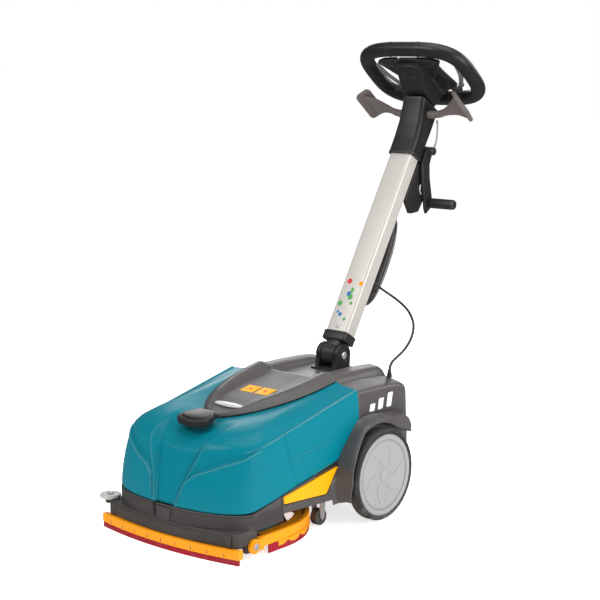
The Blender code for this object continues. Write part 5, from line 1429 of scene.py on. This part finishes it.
def build_lift():
    view = [(TUBE_HALF_Y + GAP, 0.554), (TUBE_HALF_Y + GAP, 0.45), (0.062, 0.428), (0.09, 0.448),
            (0.093, 0.48), (0.056, 0.59), (0.028, 0.596), (0.028, 0.554)]
    plate = plate_mesh(filleted(view, 0.004, 3), 0.012, 0.0018, "X", (0.0285, 0, 0))
    hub = lathe_mesh([(0.0, 0.0145), (0.01, 0.0145), (0.012, 0.013), (0.012, 0.0), (0.0, 0.0)], "X",
                     (0.024, LIFT_PIVOT.y, LIFT_PIVOT.z), 36)
    piece("lift_bracket_plate", moved(merged(plate, hub), HANDLE), "black_plastic", "handle", ("lift_bracket",))
    hook = smooth_route([(0.0362, 0.074, 0.512), (0.0378, 0.064, 0.516), (0.0378, 0.056, 0.508),
                         (0.0378, 0.06, 0.496), (0.0378, 0.07, 0.49)], 0.003)
    piece("lift_hook", moved(tube_mesh(hook, 0.0021, 12), HANDLE), "bare_steel", "handle")
    base = HANDLE @ shift(*LIFT_PIVOT) @ turn_x(HANDLE_LEAN)
    outline = [(0.008, 0.008), (-0.008, 0.01), (-0.022, -0.008), (-0.034, -0.036), (-0.033, -0.073),
               (-0.024, -0.121), (-0.02, -0.15), (-0.014, -0.165), (0.01, -0.148), (0.012, -0.121),
               (0.002, -0.073), (0.0, -0.036), (0.011, -0.008)]
    body = plate_mesh(filleted(outline, 0.004, 3), 0.006, 0.0014, "X", (-0.006, 0, 0))
    knob = lathe_mesh([(0.0, 0.0118), (0.008, 0.0118), (0.0105, 0.01), (0.011, 0.008), (0.011, -0.004),
                       (0.0, -0.004)], "X", steps=40)
    peg = lathe_mesh([(0.0, 0.074), (0.0055, 0.0738), (0.006, 0.073), (0.006, -0.006), (0.0, -0.006)], "X",
                     (0, 0, -LIFT_LENGTH), 24)
    lip = [(-0.003, y, z) for y, z in ((-0.03, -0.036), (-0.0295, -0.073), (-0.0205, -0.121), (-0.016, -0.148))]
    ridge = tube_mesh(smooth_route(lip, 0.006), 0.001, 8)
    arm = moved(merged(body, knob, peg, ridge), base)
    piece("lift_lever_arm", arm, "black_plastic", "lift_lever", ("lift_lever",))
    sleeve = [(0.01, 0.0385), (0.0122, 0.0372), (0.0132, 0.0345)]
    for number in range(12):
        top = 0.032 - 0.0052 * number
        sleeve += [(0.0135, top), (0.0135, top - 0.0034), (0.0128, top - 0.004), (0.0128, top - 0.0046)]
    sleeve += [(0.0135, -0.033), (0.0128, -0.0372), (0.011, -0.0385), (0.0064, -0.038), (0.0064, 0.038)]
    grip = lathe_mesh(sleeve, "X", (-0.01 + 0.048, 0.0, -LIFT_LENGTH), 48, True)
    piece("lift_grip_sleeve", moved(grip, base), "black_plastic", "lift_lever", ("lift_grip",))
    wire = smooth_route([(0.047, 0.045, 0.616), (0.05, 0.042, 0.63), (0.054, 0.025, 0.656),
                         (0.056, 0.008, 0.675)], 0.004)
    ends = [tube_mesh([wire[0], wire[2]], 0.0034, 12), tube_mesh([wire[-3], wire[-1]], 0.0034, 12)]
    piece("lift_wire_strand", moved(merged(tube_mesh(wire, 0.0024, 12), *ends), HANDLE), "bare_steel", "handle",
          ("lift_wire",))


# ---------------------------------------------------------------- carried-over nodes
def dress_nodes():
    """Finishes for the CAD nodes that stay as they are."""
    for subpart in frame["record"]["subparts"]:
        node = frame["nodes"][subpart["node"]]
        look = LOOKS[subpart["material_slot"]]
        if node.material_slots:
            for place in node.material_slots:
                place.material = look
        else:
            node.data.materials.append(look)


# ---------------------------------------------------------------- floor, backdrop and light
def chosen_by_ray(tree, ray, usual, chosen):
    """One shader for the named kind of ray and another for the rest."""
    share = tree.nodes.new("ShaderNodeLightPath").outputs[ray]
    return add_node(tree, "ShaderNodeMixShader", {0: share, 1: usual, 2: chosen}).outputs["Shader"]


FLOOR_REACH = 60.0
FLOOR_GLOW = 0.66


def build_stage():
    """A pale floor without an edge; reflections see it darker, which keeps the colours full."""
    ends = (-FLOOR_REACH, FLOOR_REACH)
    points = np.array([[(x, y, 0.0) for x in ends] for y in ends])
    floor = linked(bpy.data.objects.new("floor", grid_mesh(points)))
    material = bpy.data.materials.new("floor_paper")
    material.use_nodes = True
    tree = material.node_tree
    shader = tree.nodes["Principled BSDF"]
    shader.inputs["Roughness"].default_value = 0.85
    shader.inputs["Emission Color"].default_value = (1.0, 1.0, 1.0, 1.0)
    shader.inputs["Emission Strength"].default_value = FLOOR_GLOW
    place = tree.nodes.new("ShaderNodeTexCoord").outputs["Object"]
    tint = blended(tree, noise(tree, place, 3.0, 4.0), (0.905, 0.905, 0.905), (0.925, 0.925, 0.925))
    tree.links.new(tint, shader.inputs["Base Color"])
    dark = add_node(tree, "ShaderNodeBsdfDiffuse", {"Color": (0.16, 0.16, 0.16, 1.0)}).outputs["BSDF"]
    seen = chosen_by_ray(tree, "Is Glossy Ray", shader.outputs["BSDF"], dark)
    tree.links.new(seen, tree.nodes["Material Output"].inputs["Surface"])
    floor.data.materials.append(material)


def area_light(name, place, aim, size, power):
    data = bpy.data.lights.new(name, "AREA")
    data.shape = "RECTANGLE"
    data.size, data.size_y = size
    data.energy = power
    light = linked(bpy.data.objects.new(name, data))
    light.location = place
    light.visible_camera = False
    light.rotation_euler = (Vector(aim) - Vector(place)).to_track_quat("-Z", "Y").to_euler()


def white_sky(tree, strength):
    return add_node(tree, "ShaderNodeBackground", {"Color": (1.0, 1.0, 1.0, 1.0),
                                                   "Strength": strength}).outputs["Background"]


# How bright the surroundings are where they light the object, in its reflections, and behind it.
SKY_LIGHT, SKY_REFLECTED, SKY_BEHIND = 0.42, 0.1, 1.0
# Name, place, aim, size and power in watts.
LIGHTS = (
    ("key", (-1.4, -2.8, 2.9), (0.0, -0.1, 0.3), (2.0, 1.4), 46.0),
    ("fill", (3.0, -1.0, 1.4), (0.0, 0.0, 0.35), (1.4, 1.8), 20.0),
    ("side", (2.7, 0.5, 1.3), (0.0, 0.35, 0.75), (0.8, 1.6), 30.0),
    ("back", (-2.6, 3.1, 1.7), (0.0, -0.2, 0.3), (2.2, 1.6), 34.0),
    ("top", (0.2, 0.0, 3.2), (0.0, 0.0, 0.2), (2.6, 2.6), 48.0),
    ("rim", (0.8, 2.6, 2.0), (0.0, 0.1, 0.4), (1.2, 1.2), 16.0),
)


def build_light():
    world = bpy.data.worlds.new("studio")
    bpy.context.scene.world = world
    world.use_nodes = True
    tree = world.node_tree
    tree.nodes.remove(tree.nodes["Background"])
    around = chosen_by_ray(tree, "Is Glossy Ray", white_sky(tree, SKY_LIGHT), white_sky(tree, SKY_REFLECTED))
    seen = chosen_by_ray(tree, "Is Camera Ray", around, white_sky(tree, SKY_BEHIND))
    tree.links.new(seen, tree.nodes["World Output"].inputs["Surface"])
    for light in LIGHTS:
        area_light(*light)
    bpy.context.scene.view_settings.view_transform = "Standard"


# ---------------------------------------------------------------- the making, camera and cord first
for build in (build_camera, build_cable, build_tank, build_lid, build_lid_latch, build_deck, build_side_panels,
              build_side_latches, build_hood, build_wheels, build_rollers, build_brush, build_front_squeegee,
              build_rear_squeegee, build_hinge, build_knuckle, build_tube, build_neck, build_carry_handle,
              build_cable_channel, build_loop, build_console, build_head_cover, build_paddles, build_thumb_levers,
              build_lift, dress_nodes, build_stage, build_light):
    build()
